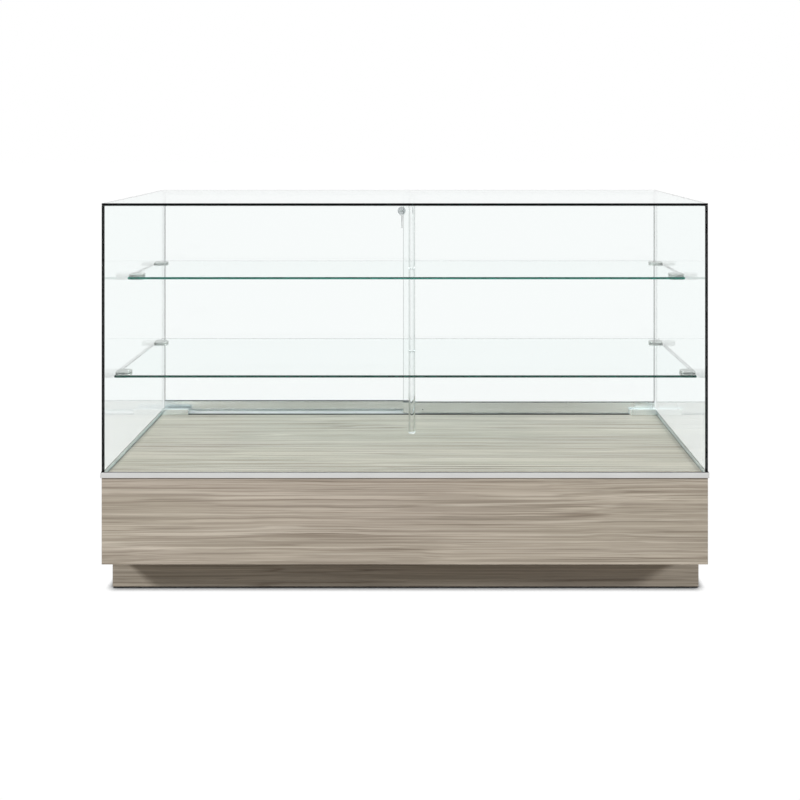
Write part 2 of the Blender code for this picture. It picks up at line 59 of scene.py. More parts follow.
# %% Camera
VIEW_DISTANCE = 2.18
VIEW_HEIGHT = 1.1855
VIEW_ASIDE = 0.0578
LENS = 39.04
SHIFT_ASIDE = -0.03475
SHIFT_DOWN = -0.335
camera_data = bpy.data.cameras.new("showcase_camera")
camera_data.lens = LENS
camera_data.shift_x = SHIFT_ASIDE
camera_data.shift_y = SHIFT_DOWN
camera = bpy.data.objects.new("showcase_camera", camera_data)
camera.location = (VIEW_ASIDE, case_front - VIEW_DISTANCE, VIEW_HEIGHT)
camera.rotation_euler = (math.radians(90), 0, 0)
bpy.context.scene.collection.objects.link(camera)
bpy.context.scene.camera = camera
print("camera stands at", tuple(round(v, 3) for v in camera.location))

# %% [markdown]
# ## Ways of working with nodes
# Room and finishes are made of nodes. These helpers add a node and fill in its inputs by name, each
# with a value or with the output of another node, so that a chain of nodes reads like a sum.

# %% Helpers for nodes
def fill(tree, socket, value):
    if isinstance(value, bpy.types.NodeSocket):
        tree.links.new(value, socket)
    else:
        socket.default_value = value


def feed(tree, node, **inputs):
    """Fill inputs of a node. They are given by name, with _ for a space."""
    for name, value in inputs.items():
        fill(tree, node.inputs[name.replace("_", " ")], value)
    return node


def add_node(tree, kind, **inputs):
    return feed(tree, tree.nodes.new(kind), **inputs)


def maths(tree, operation, *values):
    node = tree.nodes.new("ShaderNodeMath")
    node.operation = operation
    for socket, value in zip(node.inputs, values):
        fill(tree, socket, value)
    return node.outputs[0]


def spread(tree, value, low, high, least=0.0, most=1.0):
    """Stretch the part of a value between low and high to the whole from least to most."""
    node = add_node(
        tree, "ShaderNodeMapRange", Value=value, From_Min=low, From_Max=high, To_Min=least,
        To_Max=most,
    )
    return node.outputs[0]


def show(tree, share, first, second):
    """Put two shaders on a surface: the first where the share is 0, the second where it is 1."""
    mix = add_node(tree, "ShaderNodeMixShader", Fac=share)
    tree.links.new(first.outputs[0], mix.inputs[1])
    tree.links.new(second.outputs[0], mix.inputs[2])
    feed(tree, tree.nodes["Material Output"], Surface=mix.outputs[0])


print("node helpers ready")

# %% [markdown]
# ## Room
# Glass shows what is around it, so the room is made before the case. It is a white surround with
# lamps like three soft suns: one overhead, and one high up at each front corner, which slant under
# the base and light the two ends of the recessed plinth. Surfaces take less light from the
# surround than the eye sees in it, as in a studio whose white walls are lit from behind. The side
# that the glass mirrors, behind the camera, is darker and hangs in soft vertical folds, and the
# floor glows less in the glass than for the eye. Near the case it darkens into a contact shadow.
# Glass bends every ray many times, so the number of bounces is raised. Light is let through the
# panes by their own finish instead of by slow focused rays, which are switched off.

# %% Surround
WHITE_FOR_EYE = 1.0
WHITE_THROUGH_GLASS = 0.97
WHITE_ON_SURFACES = 0.37
scene = bpy.context.scene
room = bpy.data.worlds.new("white_room")
room.use_nodes = True
room_tree = room.node_tree
path = room_tree.nodes.new("ShaderNodeLightPath").outputs
for_eye = maths(
    room_tree, "MULTIPLY_ADD", path["Is Camera Ray"], WHITE_FOR_EYE - WHITE_THROUGH_GLASS,
    WHITE_THROUGH_GLASS,
)
for_surfaces = maths(
    room_tree, "MULTIPLY_ADD", path["Is Diffuse Ray"],
    WHITE_ON_SURFACES - WHITE_THROUGH_GLASS, for_eye,
)
feed(room_tree, room_tree.nodes["Background"], Color=(1, 1, 1, 1), Strength=for_surfaces)
scene.world = room
scene.view_settings.view_transform = "Standard"
scene.cycles.max_bounces = 32
scene.cycles.glossy_bounces = 16
scene.cycles.transmission_bounces = 24
scene.cycles.transparent_max_bounces = 40
scene.cycles.caustics_refractive = False
scene.cycles.caustics_reflective = False
print("surround made")


# %% Lamps
def soft_sun(name, towards, light, softness):
    """A distant lamp. towards points from the case to the lamp, and light is how much it gives."""
    lamp = bpy.data.lights.new(name, "SUN")
    lamp.energy = light * math.pi
    lamp.angle = math.radians(softness)
    holder = bpy.data.objects.new(name, lamp)
    holder.location = towards
    holder.rotation_euler = Vector(towards).to_track_quat("Z", "Y").to_euler()
    scene.collection.objects.link(holder)


soft_sun("overhead_lamp", (0.0, -1.4, 3.0), 0.10, 40)
soft_sun("left_lamp", (-3.2, -1.9, 2.75), 0.92, 10)
soft_sun("right_lamp", (3.0, -1.3, 1.7), 0.92, 10)

# %% Floor
FLOOR_SIZE = 60.0
FLOOR_FOR_EYE = 1.02
FLOOR_THROUGH_GLASS = 0.99
FLOOR_MIRRORED = 0.55
FLOOR_MATT = (0.15, 0.12, 0.085, 1)
CONTACT_SHADOW = 0.021
CONTACT_TONES = ((0.30, 0.01), (0.53, 0.04), (0.62, 0.36), (0.82, 0.60), (0.98, 1.0))


def studio_finish(name):
    """An empty material, for what only glows or scatters."""
    made = bpy.data.materials.new(name)
    made.use_nodes = True
    tree = made.node_tree
    tree.nodes.remove(tree.nodes["Principled BSDF"])
    return made, tree


floor_paint, tree = studio_finish("studio_floor_paint")
nearness = add_node(tree, "ShaderNodeAmbientOcclusion", Distance=CONTACT_SHADOW)
nearness.samples = 8
tones = add_node(tree, "ShaderNodeValToRGB", Fac=nearness.outputs["AO"])
stops = tones.color_ramp.elements
while len(stops) < len(CONTACT_TONES):
    stops.new(0.5)
for stop, (place, tone) in zip(stops, CONTACT_TONES):
    stop.position = place
    stop.color = (tone, tone, tone, 1)
path = tree.nodes.new("ShaderNodeLightPath").outputs
strength = FLOOR_MIRRORED
for ray, light in (("Is Transmission Ray", FLOOR_THROUGH_GLASS), ("Is Camera Ray", FLOOR_FOR_EYE)):
    strength = maths(tree, "MULTIPLY_ADD", path[ray], light - FLOOR_MIRRORED, strength)
glow = add_node(tree, "ShaderNodeEmission", Color=tones.outputs["Color"], Strength=strength)
matt = add_node(tree, "ShaderNodeBsdfDiffuse", Color=FLOOR_MATT)
show(tree, path["Is Diffuse Ray"], glow, matt)

bpy.ops.object.select_all(action="DESELECT")
bpy.ops.mesh.primitive_plane_add(size=FLOOR_SIZE, location=(0, 0, 0))
floor = bpy.context.object
floor.name = "studio_floor"
floor.data.materials.append(floor_paint)
print("floor laid")

# %% Curtain behind the camera
CURTAIN_Y = -4.2
CURTAIN_MIDDLE = 2.0
CURTAIN_SIZE = (12, 5, 1)
FOLDS = (16.0, 0.8, 0.0)
FOLD_DARK, FOLD_LIGHT = 0.22, 0.62
curtain_cloth, tree = studio_finish("studio_curtain_cloth")
where = tree.nodes.new("ShaderNodeTexCoord").outputs["Object"]
hang = add_node(tree, "ShaderNodeMapping", Vector=where, Scale=FOLDS)
folds = add_node(tree, "ShaderNodeTexNoise", Vector=hang.outputs[0], Scale=1.0, Detail=2.0)
light = spread(tree, folds.outputs["Fac"], 0.35, 0.65, FOLD_DARK, FOLD_LIGHT)
glow = add_node(tree, "ShaderNodeEmission", Strength=light)
feed(tree, tree.nodes["Material Output"], Surface=glow.outputs[0])

bpy.ops.object.select_all(action="DESELECT")
bpy.ops.mesh.primitive_plane_add(
    size=1, location=(0, CURTAIN_Y, CURTAIN_MIDDLE), rotation=(math.radians(90), 0, 0),
    scale=CURTAIN_SIZE,
)
curtain = bpy.context.object
curtain.name = "studio_curtain"
curtain.visible_camera = False
curtain.visible_diffuse = False
curtain.visible_transmission = False
curtain.visible_shadow = False
curtain.data.materials.append(curtain_cloth)
print("curtain hung at", CURTAIN_Y)

# %% [markdown]
# ## Ways of working
# Every new piece starts as a primitive added at its size and place, and is then shaped as it would
# be by hand. These helpers keep that short. Faces are picked by where they are and which way they
# point, because a number in a list would say nothing to the reader.

# %% Helpers for blanks
AXES = {"x": 0, "y": 1, "z": 2}
HAIR = 0.0001  # the gap between two pieces that lie together
OVERRUN = 0.01  # how far a cutter reaches past the piece


def take(piece):
    """Make one object the only one selected, and active."""
    if bpy.context.object and bpy.context.object.mode != "OBJECT":
        bpy.ops.object.mode_set(mode="OBJECT")
    bpy.ops.object.select_all(action="DESELECT")
    piece.select_set(True)
    bpy.context.view_layer.objects.active = piece
    return piece


def settle(name):
    """Name the new primitive and put its place, turn and size into its mesh."""
    piece = bpy.context.object
    piece.name = piece.data.name = name
    bpy.ops.object.transform_apply(location=True, rotation=True, scale=True)
    return piece


def block(name, low, high):
    """A rectangular blank between two corners."""
    bpy.ops.object.select_all(action="DESELECT")
    size = [b - a for a, b in zip(low, high)]
    middle = [(a + b) / 2 for a, b in zip(low, high)]
    bpy.ops.mesh.primitive_cube_add(size=1, location=middle, scale=size)
    return settle(name)


def rod(name, low, high, axis="z", sides=48):
    """A round blank that fills the box between two corners and runs along an axis."""
    bpy.ops.object.select_all(action="DESELECT")
    across = "x" if axis != "x" else "y"
    radius = (high[AXES[across]] - low[AXES[across]]) / 2
    middle = [(a + b) / 2 for a, b in zip(low, high)]
    turn = {"z": (0, 0, 0), "y": (math.pi / 2, 0, 0), "x": (0, math.pi / 2, 0)}[axis]
    bpy.ops.mesh.primitive_cylinder_add(
        vertices=sides, radius=radius, depth=high[AXES[axis]] - low[AXES[axis]],
        location=middle, rotation=turn,
    )
    return settle(name)


print("blanks ready")


# %% Helpers for picking and pulling
def pick(piece, test, kind="FACE"):
    """Go into edit mode with only those faces selected whose middle and normal pass the test, or
    only those points, of kind VERT, whose place does."""
    take(piece)
    bpy.ops.object.mode_set(mode="EDIT")
    bpy.ops.mesh.select_mode(type=kind)
    bpy.ops.mesh.select_all(action="DESELECT")
    bpy.ops.object.mode_set(mode="OBJECT")
    if kind == "FACE":
        for face in piece.data.polygons:
            face.select = test(face.center, face.normal)
    else:
        for point in piece.data.vertices:
            point.select = test(point.co)
    bpy.ops.object.mode_set(mode="EDIT")


def done():
    bpy.ops.object.mode_set(mode="OBJECT")


def pull(piece, test, move):
    """Extrude the picked faces by a move."""
    pick(piece, test)
    bpy.ops.mesh.extrude_region_move(TRANSFORM_OT_translate={"value": move})
    done()


def inset(piece, test, *steps):
    """Draw the picked faces inwards, step after step, each by a width and a rise."""
    pick(piece, test)
    for width, rise in steps:
        bpy.ops.mesh.inset(thickness=width, depth=rise)
    done()


def shrink(piece, test, share, centre):
    """Draw the picked points in towards an axis along Y."""
    pick(piece, test, "VERT")
    bpy.ops.transform.resize(value=(share, 1, share), center_override=centre)
    done()


print("picking and pulling ready")


# %% Helpers for sawing and drilling
def edit_all(piece):
    """Go into edit mode with everything selected."""
    take(piece)
    bpy.ops.object.mode_set(mode="EDIT")
    bpy.ops.mesh.select_all(action="SELECT")


def slice_at(piece, axis, *places):
    """Cut new edges right round a piece, square to an axis."""
    for place in places:
        point, normal = [0, 0, 0], [0, 0, 0]
        point[AXES[axis]], normal[AXES[axis]] = place, 1
        edit_all(piece)
        bpy.ops.mesh.bisect(plane_co=point, plane_no=normal)
        done()


def trim_off(piece, point, normal):
    """Saw off what lies on the side that the normal points to, and close the cut."""
    edit_all(piece)
    bpy.ops.mesh.bisect(plane_co=point, plane_no=normal, use_fill=True, clear_outer=True)
    done()


def apply_modifier(piece, kind, **settings):
    take(piece)
    step = piece.modifiers.new(kind.lower(), kind)
    for setting, value in settings.items():
        setattr(step, setting, value)
    bpy.ops.object.modifier_apply(modifier=step.name)
    return piece


def cut_out(piece, cutter):
    """Take one shape out of another, and drop the cutter."""
    apply_modifier(piece, "BOOLEAN", operation="DIFFERENCE", object=cutter, solver="EXACT")
    bpy.data.objects.remove(cutter, do_unlink=True)
    return piece


print("sawing and drilling ready")


# %% Helpers for finishing a piece
def ease_edges(piece, width, segments=2, angle=35, finish=-1):
    """Break every sharp edge by that width. The new narrow faces can take a finish of their own."""
    return apply_modifier(
        piece, "BEVEL", width=width, segments=segments, limit_method="ANGLE",
        angle_limit=math.radians(angle), material=finish,
    )


def give_finishes(piece, *finishes):
    piece.data.materials.clear()
    for finish in finishes:
        piece.data.materials.append(finish)


def hand_over(piece, body, nodes, smooth=35):
    """Smooth the round stretches but keep the flat faces flat, and tell the frame what the piece
    rides on and stands for."""
    take(piece)
    bpy.ops.object.shade_smooth_by_angle(angle=math.radians(smooth))
    apply_modifier(piece, "WEIGHTED_NORMAL", keep_sharp=True)
    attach(piece, body)
    if nodes:
        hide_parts(*nodes)
    return piece


def complete(
    piece, body, nodes, finish, edge, segments=2, angle=35, smooth=35, edge_finish=None
):
    """Give a shaped piece its finish, break its edges and hand it over."""
    finishes = [finish, edge_finish] if edge_finish else [finish]
    give_finishes(piece, *finishes)
    ease_edges(piece, edge, segments, angle, 1 if edge_finish else -1)
    return hand_over(piece, body, nodes, smooth)


print("finishing ready")

# %% [markdown]
# ## Ways of making a finish
# A finish is a Principled surface whose colour, roughness and small relief come from noise, set at
# the real size of the real marks. Two effects are used on several pieces, so each is a node group:
# fine lines along an extrusion or a brushed face, and the soft uneven gloss that handling leaves.

# %% Helpers for finishes
def blend_colours(tree, factor, first, second):
    node = tree.nodes.new("ShaderNodeMix")
    node.data_type = "RGBA"
    sockets = (node.inputs[0], node.inputs[6], node.inputs[7])
    for socket, value in zip(sockets, (factor, first, second)):
        fill(tree, socket, (*value, 1) if isinstance(value, tuple) else value)
    return node.outputs[2]


def stretched_noise(tree, where, scale, detail=3.0, roughness=0.55, shift=(0, 0, 0)):
    """Noise with its own scale along each axis, in features per metre."""
    mapping = add_node(tree, "ShaderNodeMapping", Vector=where, Scale=scale, Location=shift)
    noise = add_node(
        tree, "ShaderNodeTexNoise", Vector=mapping.outputs[0], Scale=1.0, Detail=detail,
        Roughness=roughness,
    )
    return noise.outputs["Fac"]


def new_group(name, inputs, outputs):
    group = bpy.data.node_groups.new(name, "ShaderNodeTree")
    for socket, kind, value in inputs:
        made = group.interface.new_socket(name=socket, in_out="INPUT", socket_type=kind)
        if value is not None:
            made.default_value = value
    for socket, kind in outputs:
        group.interface.new_socket(name=socket, in_out="OUTPUT", socket_type=kind)
    return group, group.nodes.new("NodeGroupInput"), group.nodes.new("NodeGroupOutput")


def use_group(tree, group, **inputs):
    node = tree.nodes.new("ShaderNodeGroup")
    node.node_tree = group
    return feed(tree, node, **inputs)


def new_finish(name, metallic=0.0, **plain):
    """A material with its Principled surface, and the piece's own coordinates in metres."""
    made = bpy.data.materials.new(name)
    made.use_nodes = True
    tree = made.node_tree
    surface = feed(tree, tree.nodes["Principled BSDF"], Metallic=metallic, **plain)
    return made, tree, surface, tree.nodes.new("ShaderNodeTexCoord").outputs["Object"]


def add_relief(tree, surface, height, distance):
    bump = add_node(tree, "ShaderNodeBump", Height=height, Distance=distance, Strength=1.0)
    feed(tree, surface, Normal=bump.outputs[0])


print("finish helpers ready")

# %% Fine lines, which run along the input vector's x
fine_lines, lines_in, lines_out = new_group(
    "fine_lines",
    [("Where", "NodeSocketVector", None), ("Lines per Metre", "NodeSocketFloat", 1500.0)],
    [("Height", "NodeSocketFloat"), ("Mask", "NodeSocketFloat")],
)
LINE_STRETCH = 0.012
per_metre = lines_in.outputs["Lines per Metre"]
along = maths(fine_lines, "MULTIPLY", per_metre, LINE_STRETCH)
line_scale = add_node(fine_lines, "ShaderNodeCombineXYZ", X=along, Y=per_metre, Z=per_metre)
line_noise = stretched_noise(fine_lines, lines_in.outputs["Where"], line_scale.outputs[0], 2.0, 0.6)
feed(fine_lines, lines_out, Height=line_noise, Mask=spread(fine_lines, line_noise, 0.35, 0.7))

print("shared effect:", fine_lines.name)

# %% Handling: soft patches where fingers and cloths have been
handling, hand_in, hand_out = new_group(
    "handling",
    [
        ("Where", "NodeSocketVector", None),
        ("Patches per Metre", "NodeSocketFloat", 25.0),
        ("Lowest Roughness", "NodeSocketFloat", 0.2),
        ("Highest Roughness", "NodeSocketFloat", 0.35),
    ],
    [("Roughness", "NodeSocketFloat"), ("Mask", "NodeSocketFloat")],
)
patches = add_node(
    handling, "ShaderNodeTexNoise", Vector=hand_in.outputs["Where"],
    Scale=hand_in.outputs["Patches per Metre"], Detail=1.5, Roughness=0.5,
)
patch_mask = spread(handling, patches.outputs["Fac"], 0.3, 0.7)
gloss = spread(
    handling, patch_mask, 0.0, 1.0, hand_in.outputs["Lowest Roughness"],
    hand_in.outputs["Highest Roughness"],
)
feed(handling, hand_out, Roughness=gloss, Mask=patch_mask)
print("shared effect:", handling.name)

# %% [markdown]
# ## Clear glass
# The panes are clear float glass. Looked through, they are nearly colourless. Looked at edge on,
# the light has come through half a metre of glass and is deep green, because of the iron in it.
# Both come from the same cause, so the colour is put inside the glass, as absorption. The edge
# faces are marked on the mesh, and are much darker and less glossy than the sheet. Their colour is
# partly that green and partly painted shade, and the upper shelf's edge is painted lighter than the
# lower one's, as a lit and a shaded copy of the same glass. Rays that only carry light to another
# surface pass straight through, so that the inside of the case is lit.

# %% Glass finish
GLASS_GLOSS = (0.3, 0.3, 0.3, 1)
LIGHT_THROUGH = (0.977, 0.994, 0.998)
# Painted shade: the arris is coloured near black so that each edge shows a dark line.
ARRIS_SHADE_GREY = (0.0004, 0.0015, 0.0013)
GROUND_ROUGHNESS = 0.03


def light_passes(tree, surface):
    """Let the rays that only bring light go straight through, and the rest meet the surface."""
    path = tree.nodes.new("ShaderNodeLightPath").outputs
    clear = add_node(tree, "ShaderNodeBsdfTransparent", Color=(*LIGHT_THROUGH, 1))
    not_for_eye = maths(tree, "MAXIMUM", path["Is Shadow Ray"], path["Is Diffuse Ray"])
    show(tree, not_for_eye, surface, clear)


def glass_finish(name, inside_colour, density, edge_colour_with_shade):
    made, tree, surface, where = new_finish(
        name, IOR=1.52, Transmission_Weight=1.0, Base_Color=(1, 1, 1, 1), Roughness=0.0,
        Specular_Tint=GLASS_GLOSS,
    )
    rim = tree.nodes.new("ShaderNodeAttribute")
    rim.attribute_name = "rim"
    worked = rim.outputs["Fac"]
    # Edge faces get a painted colour: partly the glass's green, partly painted shade.
    edge = blend_colours(tree, worked, (1.0, 1.0, 1.0), edge_colour_with_shade)
    arris = maths(tree, "SUBTRACT", worked, 1.0)
    smears = use_group(
        tree, handling, Where=where, Patches_per_Metre=9.0, Lowest_Roughness=0.0,
        Highest_Roughness=0.004,
    )
    roughness = maths(tree, "MULTIPLY_ADD", worked, GROUND_ROUGHNESS, smears.outputs["Roughness"])
    feed(
        tree, surface, Base_Color=blend_colours(tree, arris, edge, ARRIS_SHADE_GREY),
        Roughness=roughness,
    )
    light_passes(tree, surface)
    inside = add_node(
        tree, "ShaderNodeVolumeAbsorption", Color=(*inside_colour, 1), Density=density
    )
    feed(tree, tree.nodes["Material Output"], Volume=inside.outputs[0])
    return made


IRON_GREEN = (0.15, 0.70, 0.60)
# The case panes' near-black edges are painted shade as well as the glass's green.
case_glass = glass_finish("case_glass", IRON_GREEN, 5.0, (0.0, 0.0003, 0.0003))
# The shelves' edge colours are painted light and shade: the upper edge lit, the lower shaded.
shelf_glass = {
    "upper": glass_finish("upper_shelf_glass", IRON_GREEN, 4.5, (0.06, 0.55, 0.49)),
    "lower": glass_finish("lower_shelf_glass", IRON_GREEN, 4.5, (0.03, 0.15, 0.13)),
}
print("glass finishes:", case_glass.name, [g.name for g in shelf_glass.values()])

# %% [markdown]
# ## Panes and shelves
# A pane is a block with its edges ground to a narrow flat, the arris, which a cutter's belt
# leaves so that nobody is cut. It scatters the light, and shows as a fine line along each edge. Its
# near-black colour is painted shade, which draws that line dark.

# %% Make a pane
ARRIS = 0.0006
SHELF_ARRIS = 0.0011


def mark_rim(piece, thin_axis):
    """Store on each face whether it is sheet (0), polished edge (1) or ground arris (2)."""
    mark = piece.data.attributes.new("rim", "FLOAT", "FACE")
    for face in piece.data.polygons:
        lean = abs(face.normal[thin_axis])
        mark.data[face.index].value = 0.0 if lean > 0.99 else 1.0 if lean < 0.3 else 2.0


def pane(name, node, body, finish, thin_axis, arris=ARRIS):
    low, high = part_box(node)
    piece = block(name, low, high)
    give_finishes(piece, finish)
    ease_edges(piece, arris, segments=1)
    mark_rim(piece, AXES[thin_axis])
    return hand_over(piece, body, [node], smooth=10)


pane("front_glass", "front_pane", "showcase", case_glass, "y")
pane("left_glass", "left_pane", "showcase", case_glass, "x")
pane("right_glass", "right_pane", "showcase", case_glass, "x")
pane("top_glass", "top_pane", "showcase", case_glass, "z")
for level, finish in shelf_glass.items():
    pane(f"{level}_shelf_glass", f"{level}_shelf", "showcase", finish, "z", SHELF_ARRIS)
print("fixed panes and shelves made")

# %% [markdown]
# ## Door glass
# The doors are the same glass. The left one, in the outer lane, is drilled for the lock, and the
# hole is ground like the edges.

# %% Door panes and the lock hole
HOLE_CLEARANCE = 0.0003
nut_low, nut_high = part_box("lock_nut")
barrel_low, barrel_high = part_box("lock_barrel")
lock_x = (nut_low.x + nut_high.x) / 2
lock_z = (nut_low.z + nut_high.z) / 2
BARREL_RADIUS = 0.0092


def lock_bore(name, radius, near, far, sides=64):
    """A round blank on the lock's axis."""
    return rod(
        name, (lock_x - radius, near, lock_z - radius), (lock_x + radius, far, lock_z + radius),
        axis="y", sides=sides,
    )


for side in ("left", "right"):
    node = f"{side}_door_glass"
    low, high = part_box(node)
    piece = block(f"{side}_door_pane", low, high)
    give_finishes(piece, case_glass)
    if side == "left":
        drill = lock_bore(
            "lock_drill", BARREL_RADIUS + HOLE_CLEARANCE, low.y - OVERRUN, high.y + OVERRUN
        )
        cut_out(piece, drill)
    ease_edges(piece, ARRIS, segments=1)
    mark_rim(piece, AXES["y"])
    hand_over(piece, f"{side}_door", [node], smooth=30)
print("door panes made, hole at", round(lock_x, 4), round(lock_z, 4))

# %% [markdown]
# ## Clear acrylic
# The posts and the upper guide are cast acrylic. It is clearer than glass, without the green, and
# a little softer, so its polish shows faint smears and its sawn ends are frosted. Where a surface
# turns away from the eye its colour is painted darker, a painted shade which draws the grey
# outline of a clear rod.

# %% Acrylic finish
def acrylic_finish(name, roughness_low, roughness_high):
    made, tree, surface, where = new_finish(name, IOR=1.49, Transmission_Weight=1.0)
    # Painted shade: the colour darkens towards grazing angles to draw the rod's outline.
    turned_away = tree.nodes.new("ShaderNodeLayerWeight").outputs["Facing"]
    outline = spread(tree, turned_away, 0.02, 0.22)
    tint_with_grazing_shade = blend_colours(tree, outline, (0.985, 0.99, 0.99), (0.66, 0.69, 0.68))
    smears = use_group(
        tree, handling, Where=where, Patches_per_Metre=40.0, Lowest_Roughness=roughness_low,
        Highest_Roughness=roughness_high,
    )
    feed(tree, surface, Base_Color=tint_with_grazing_shade, Roughness=smears.outputs["Roughness"])
    light_passes(tree, surface)
    return made


polished_acrylic = acrylic_finish("polished_acrylic", 0.0, 0.02)
frosted_acrylic = acrylic_finish("frosted_acrylic", 0.25, 0.4)
print("acrylic finishes made")

# %% [markdown]
# ## Posts under the shelves
# One post would need a hole in each shelf, so there are three short ones, one on top of the other
# with the glass between them. Each is a turned rod whose ends are faced square and chamfered.

# %% Turn the posts
POST_CHAMFER = 0.0008
for level in ("lower", "middle", "upper"):
    node = f"post_{level}"
    post = rod(node + "_rod", *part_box(node), sides=64)
    complete(
        post, "showcase", [node], polished_acrylic, POST_CHAMFER, smooth=30,
        edge_finish=frosted_acrylic,
    )
print("three posts turned")

# %% [markdown]
# ## Laminate
# The boards are faced with a high pressure laminate printed as a pale, weathered wood. Its grain
# runs lengthwise in long light and dark streaks that wander a little, with thin dark and pale veins
# and short dark pores between them, and it drifts between pinkish and yellowish grey. Each of these
# is a noise that is much longer along the grain than across it. The noises are bent by a slow one
# first, so that all of them waver together.

# %% Laminate grain as a node group
grain, grain_in, grain_out = new_group(
    "laminate_grain",
    [("Where", "NodeSocketVector", None), ("Lightness", "NodeSocketFloat", 1.0)],
    [
        ("Colour", "NodeSocketColor"), ("Height", "NodeSocketFloat"),
        ("Roughness", "NodeSocketFloat"),
    ],
)
where_in = grain_in.outputs["Where"]
WAVER, SMALL_WAVER = 0.018, 0.004


def sway(noise, amount):
    return maths(grain, "MULTIPLY", maths(grain, "SUBTRACT", noise, 0.5), amount)


waver = stretched_noise(grain, where_in, (1.3, 6.0, 6.0), 2.0, 0.5)
small_waver = stretched_noise(grain, where_in, (5.0, 24.0, 24.0), 2.0, 0.5, (3, 1, 2))
sideways = maths(grain, "ADD", sway(waver, WAVER), sway(small_waver, SMALL_WAVER))
shift = add_node(grain, "ShaderNodeCombineXYZ", X=0.0, Y=sideways, Z=sideways)
bent = add_node(grain, "ShaderNodeVectorMath")
bent.operation = "ADD"
grain.links.new(where_in, bent.inputs[0])
grain.links.new(shift.outputs[0], bent.inputs[1])


def along_grain(lengthwise, across, detail, roughness, shift=(0, 0, 0)):
    """Noise with that many features per metre along the grain and across it."""
    scale = (lengthwise, across, across)
    return stretched_noise(grain, bent.outputs[0], scale, detail, roughness, shift)


broad = along_grain(0.6, 55.0, 3.0, 0.55)
middling = along_grain(0.7, 150.0, 3.0, 0.65, (5, 2, 7))
fine = along_grain(1.8, 330.0, 2.0, 0.6, (1, 9, 4))
pores = spread(grain, along_grain(9.0, 520.0, 2.0, 0.5, (8, 3, 1)), 0.60, 0.72)
drift = spread(grain, along_grain(1.4, 9.0, 2.0, 0.5, (2, 6, 3)), 0.35, 0.65)

streaks = maths(grain, "MULTIPLY", spread(grain, broad, 0.3, 0.7), 0.08)
for noise, low, share in ((middling, 0.34, 0.54), (fine, 0.36, 0.38)):
    streaks = maths(grain, "MULTIPLY_ADD", spread(grain, noise, low, 1 - low), share, streaks)
pinkish = blend_colours(grain, streaks, (0.215, 0.182, 0.146), (0.520, 0.460, 0.392))
yellowish = blend_colours(grain, streaks, (0.215, 0.184, 0.144), (0.516, 0.464, 0.386))
wood = blend_colours(grain, drift, pinkish, yellowish)


def vein(scale, width, shift):
    """Thin lines where a slow noise crosses its middle, fading in and out along their length."""
    level = along_grain(0.5, scale, 1.0, 0.5, shift)
    beside = maths(grain, "ABSOLUTE", maths(grain, "SUBTRACT", level, 0.5))
    line = spread(grain, beside, 0.0, width, 1.0, 0.0)
    fade = spread(grain, along_grain(1.6, 30.0, 1.0, 0.5, shift), 0.40, 0.62)
    return maths(grain, "MULTIPLY", line, fade)


for marks, share, colour in (
    (vein(62.0, 0.045, (4, 4, 9)), 0.80, (0.175, 0.140, 0.105)),
    (vein(75.0, 0.050, (7, 9, 2)), 0.65, (0.620, 0.570, 0.490)),
    (pores, 0.35, (0.200, 0.165, 0.130)),
):
    wood = blend_colours(grain, maths(grain, "MULTIPLY", marks, share), wood, colour)
brighten = add_node(grain, "ShaderNodeVectorMath")
brighten.operation = "SCALE"
grain.links.new(wood, brighten.inputs[0])
grain.links.new(grain_in.outputs["Lightness"], brighten.inputs["Scale"])
pits = maths(grain, "MULTIPLY", pores, 0.5)
relief = maths(grain, "SUBTRACT", maths(grain, "MULTIPLY", fine, 0.6), pits)
feed(
    grain, grain_out, Colour=brighten.outputs[0], Height=relief,
    Roughness=spread(grain, streaks, 0.0, 1.0, 0.52, 0.40),
)
print("laminate grain has", len(grain.nodes), "nodes")

# %% Laminate finishes
LAMINATE_RELIEF = 0.00008


def laminate_finish(name, turn, lightness=1.0):
    """turn is the angle about the vertical that brings the grain from along X to where it runs."""
    made, tree, surface, where = new_finish(name)
    turned = add_node(tree, "ShaderNodeMapping", Vector=where, Rotation=(0, 0, turn))
    look = use_group(tree, grain, Where=turned.outputs[0], Lightness=lightness)
    feed(tree, surface, Base_Color=look.outputs["Colour"], Roughness=look.outputs["Roughness"])
    add_relief(tree, surface, look.outputs["Height"], LAMINATE_RELIEF)
    return made


laminate_along = laminate_finish("laminate_grain_lengthwise", 0.0)
laminate_deep = laminate_finish("laminate_grain_front_to_back", math.pi / 2)
laminate_edge = laminate_finish("laminate_cut_edge", 0.0, lightness=0.55)
print("laminate finishes made")

# %% [markdown]
# ## Base boards
# Each board is a block. Where two sheets of laminate meet, the router leaves a narrow slanted edge
# that shows the brown paper core of the sheet, so the eased edges have a darker finish. The deck
# lies on the walls with a thin lip. Its thick middle is pulled down from the lip, between them.

# %% Make the boards
BOARD_EDGE = 0.0007


def board(node, finish):
    piece = block(node + "_board", *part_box(node))
    complete(piece, "showcase", [node], finish, BOARD_EDGE, edge_finish=laminate_edge)


for node in ("base_front_panel", "base_rear_panel", "plinth_front", "plinth_rear"):
    board(node, laminate_along)
for node in ("base_left_panel", "base_right_panel", "plinth_left", "plinth_right"):
    board(node, laminate_deep)
print("laminate boards made")

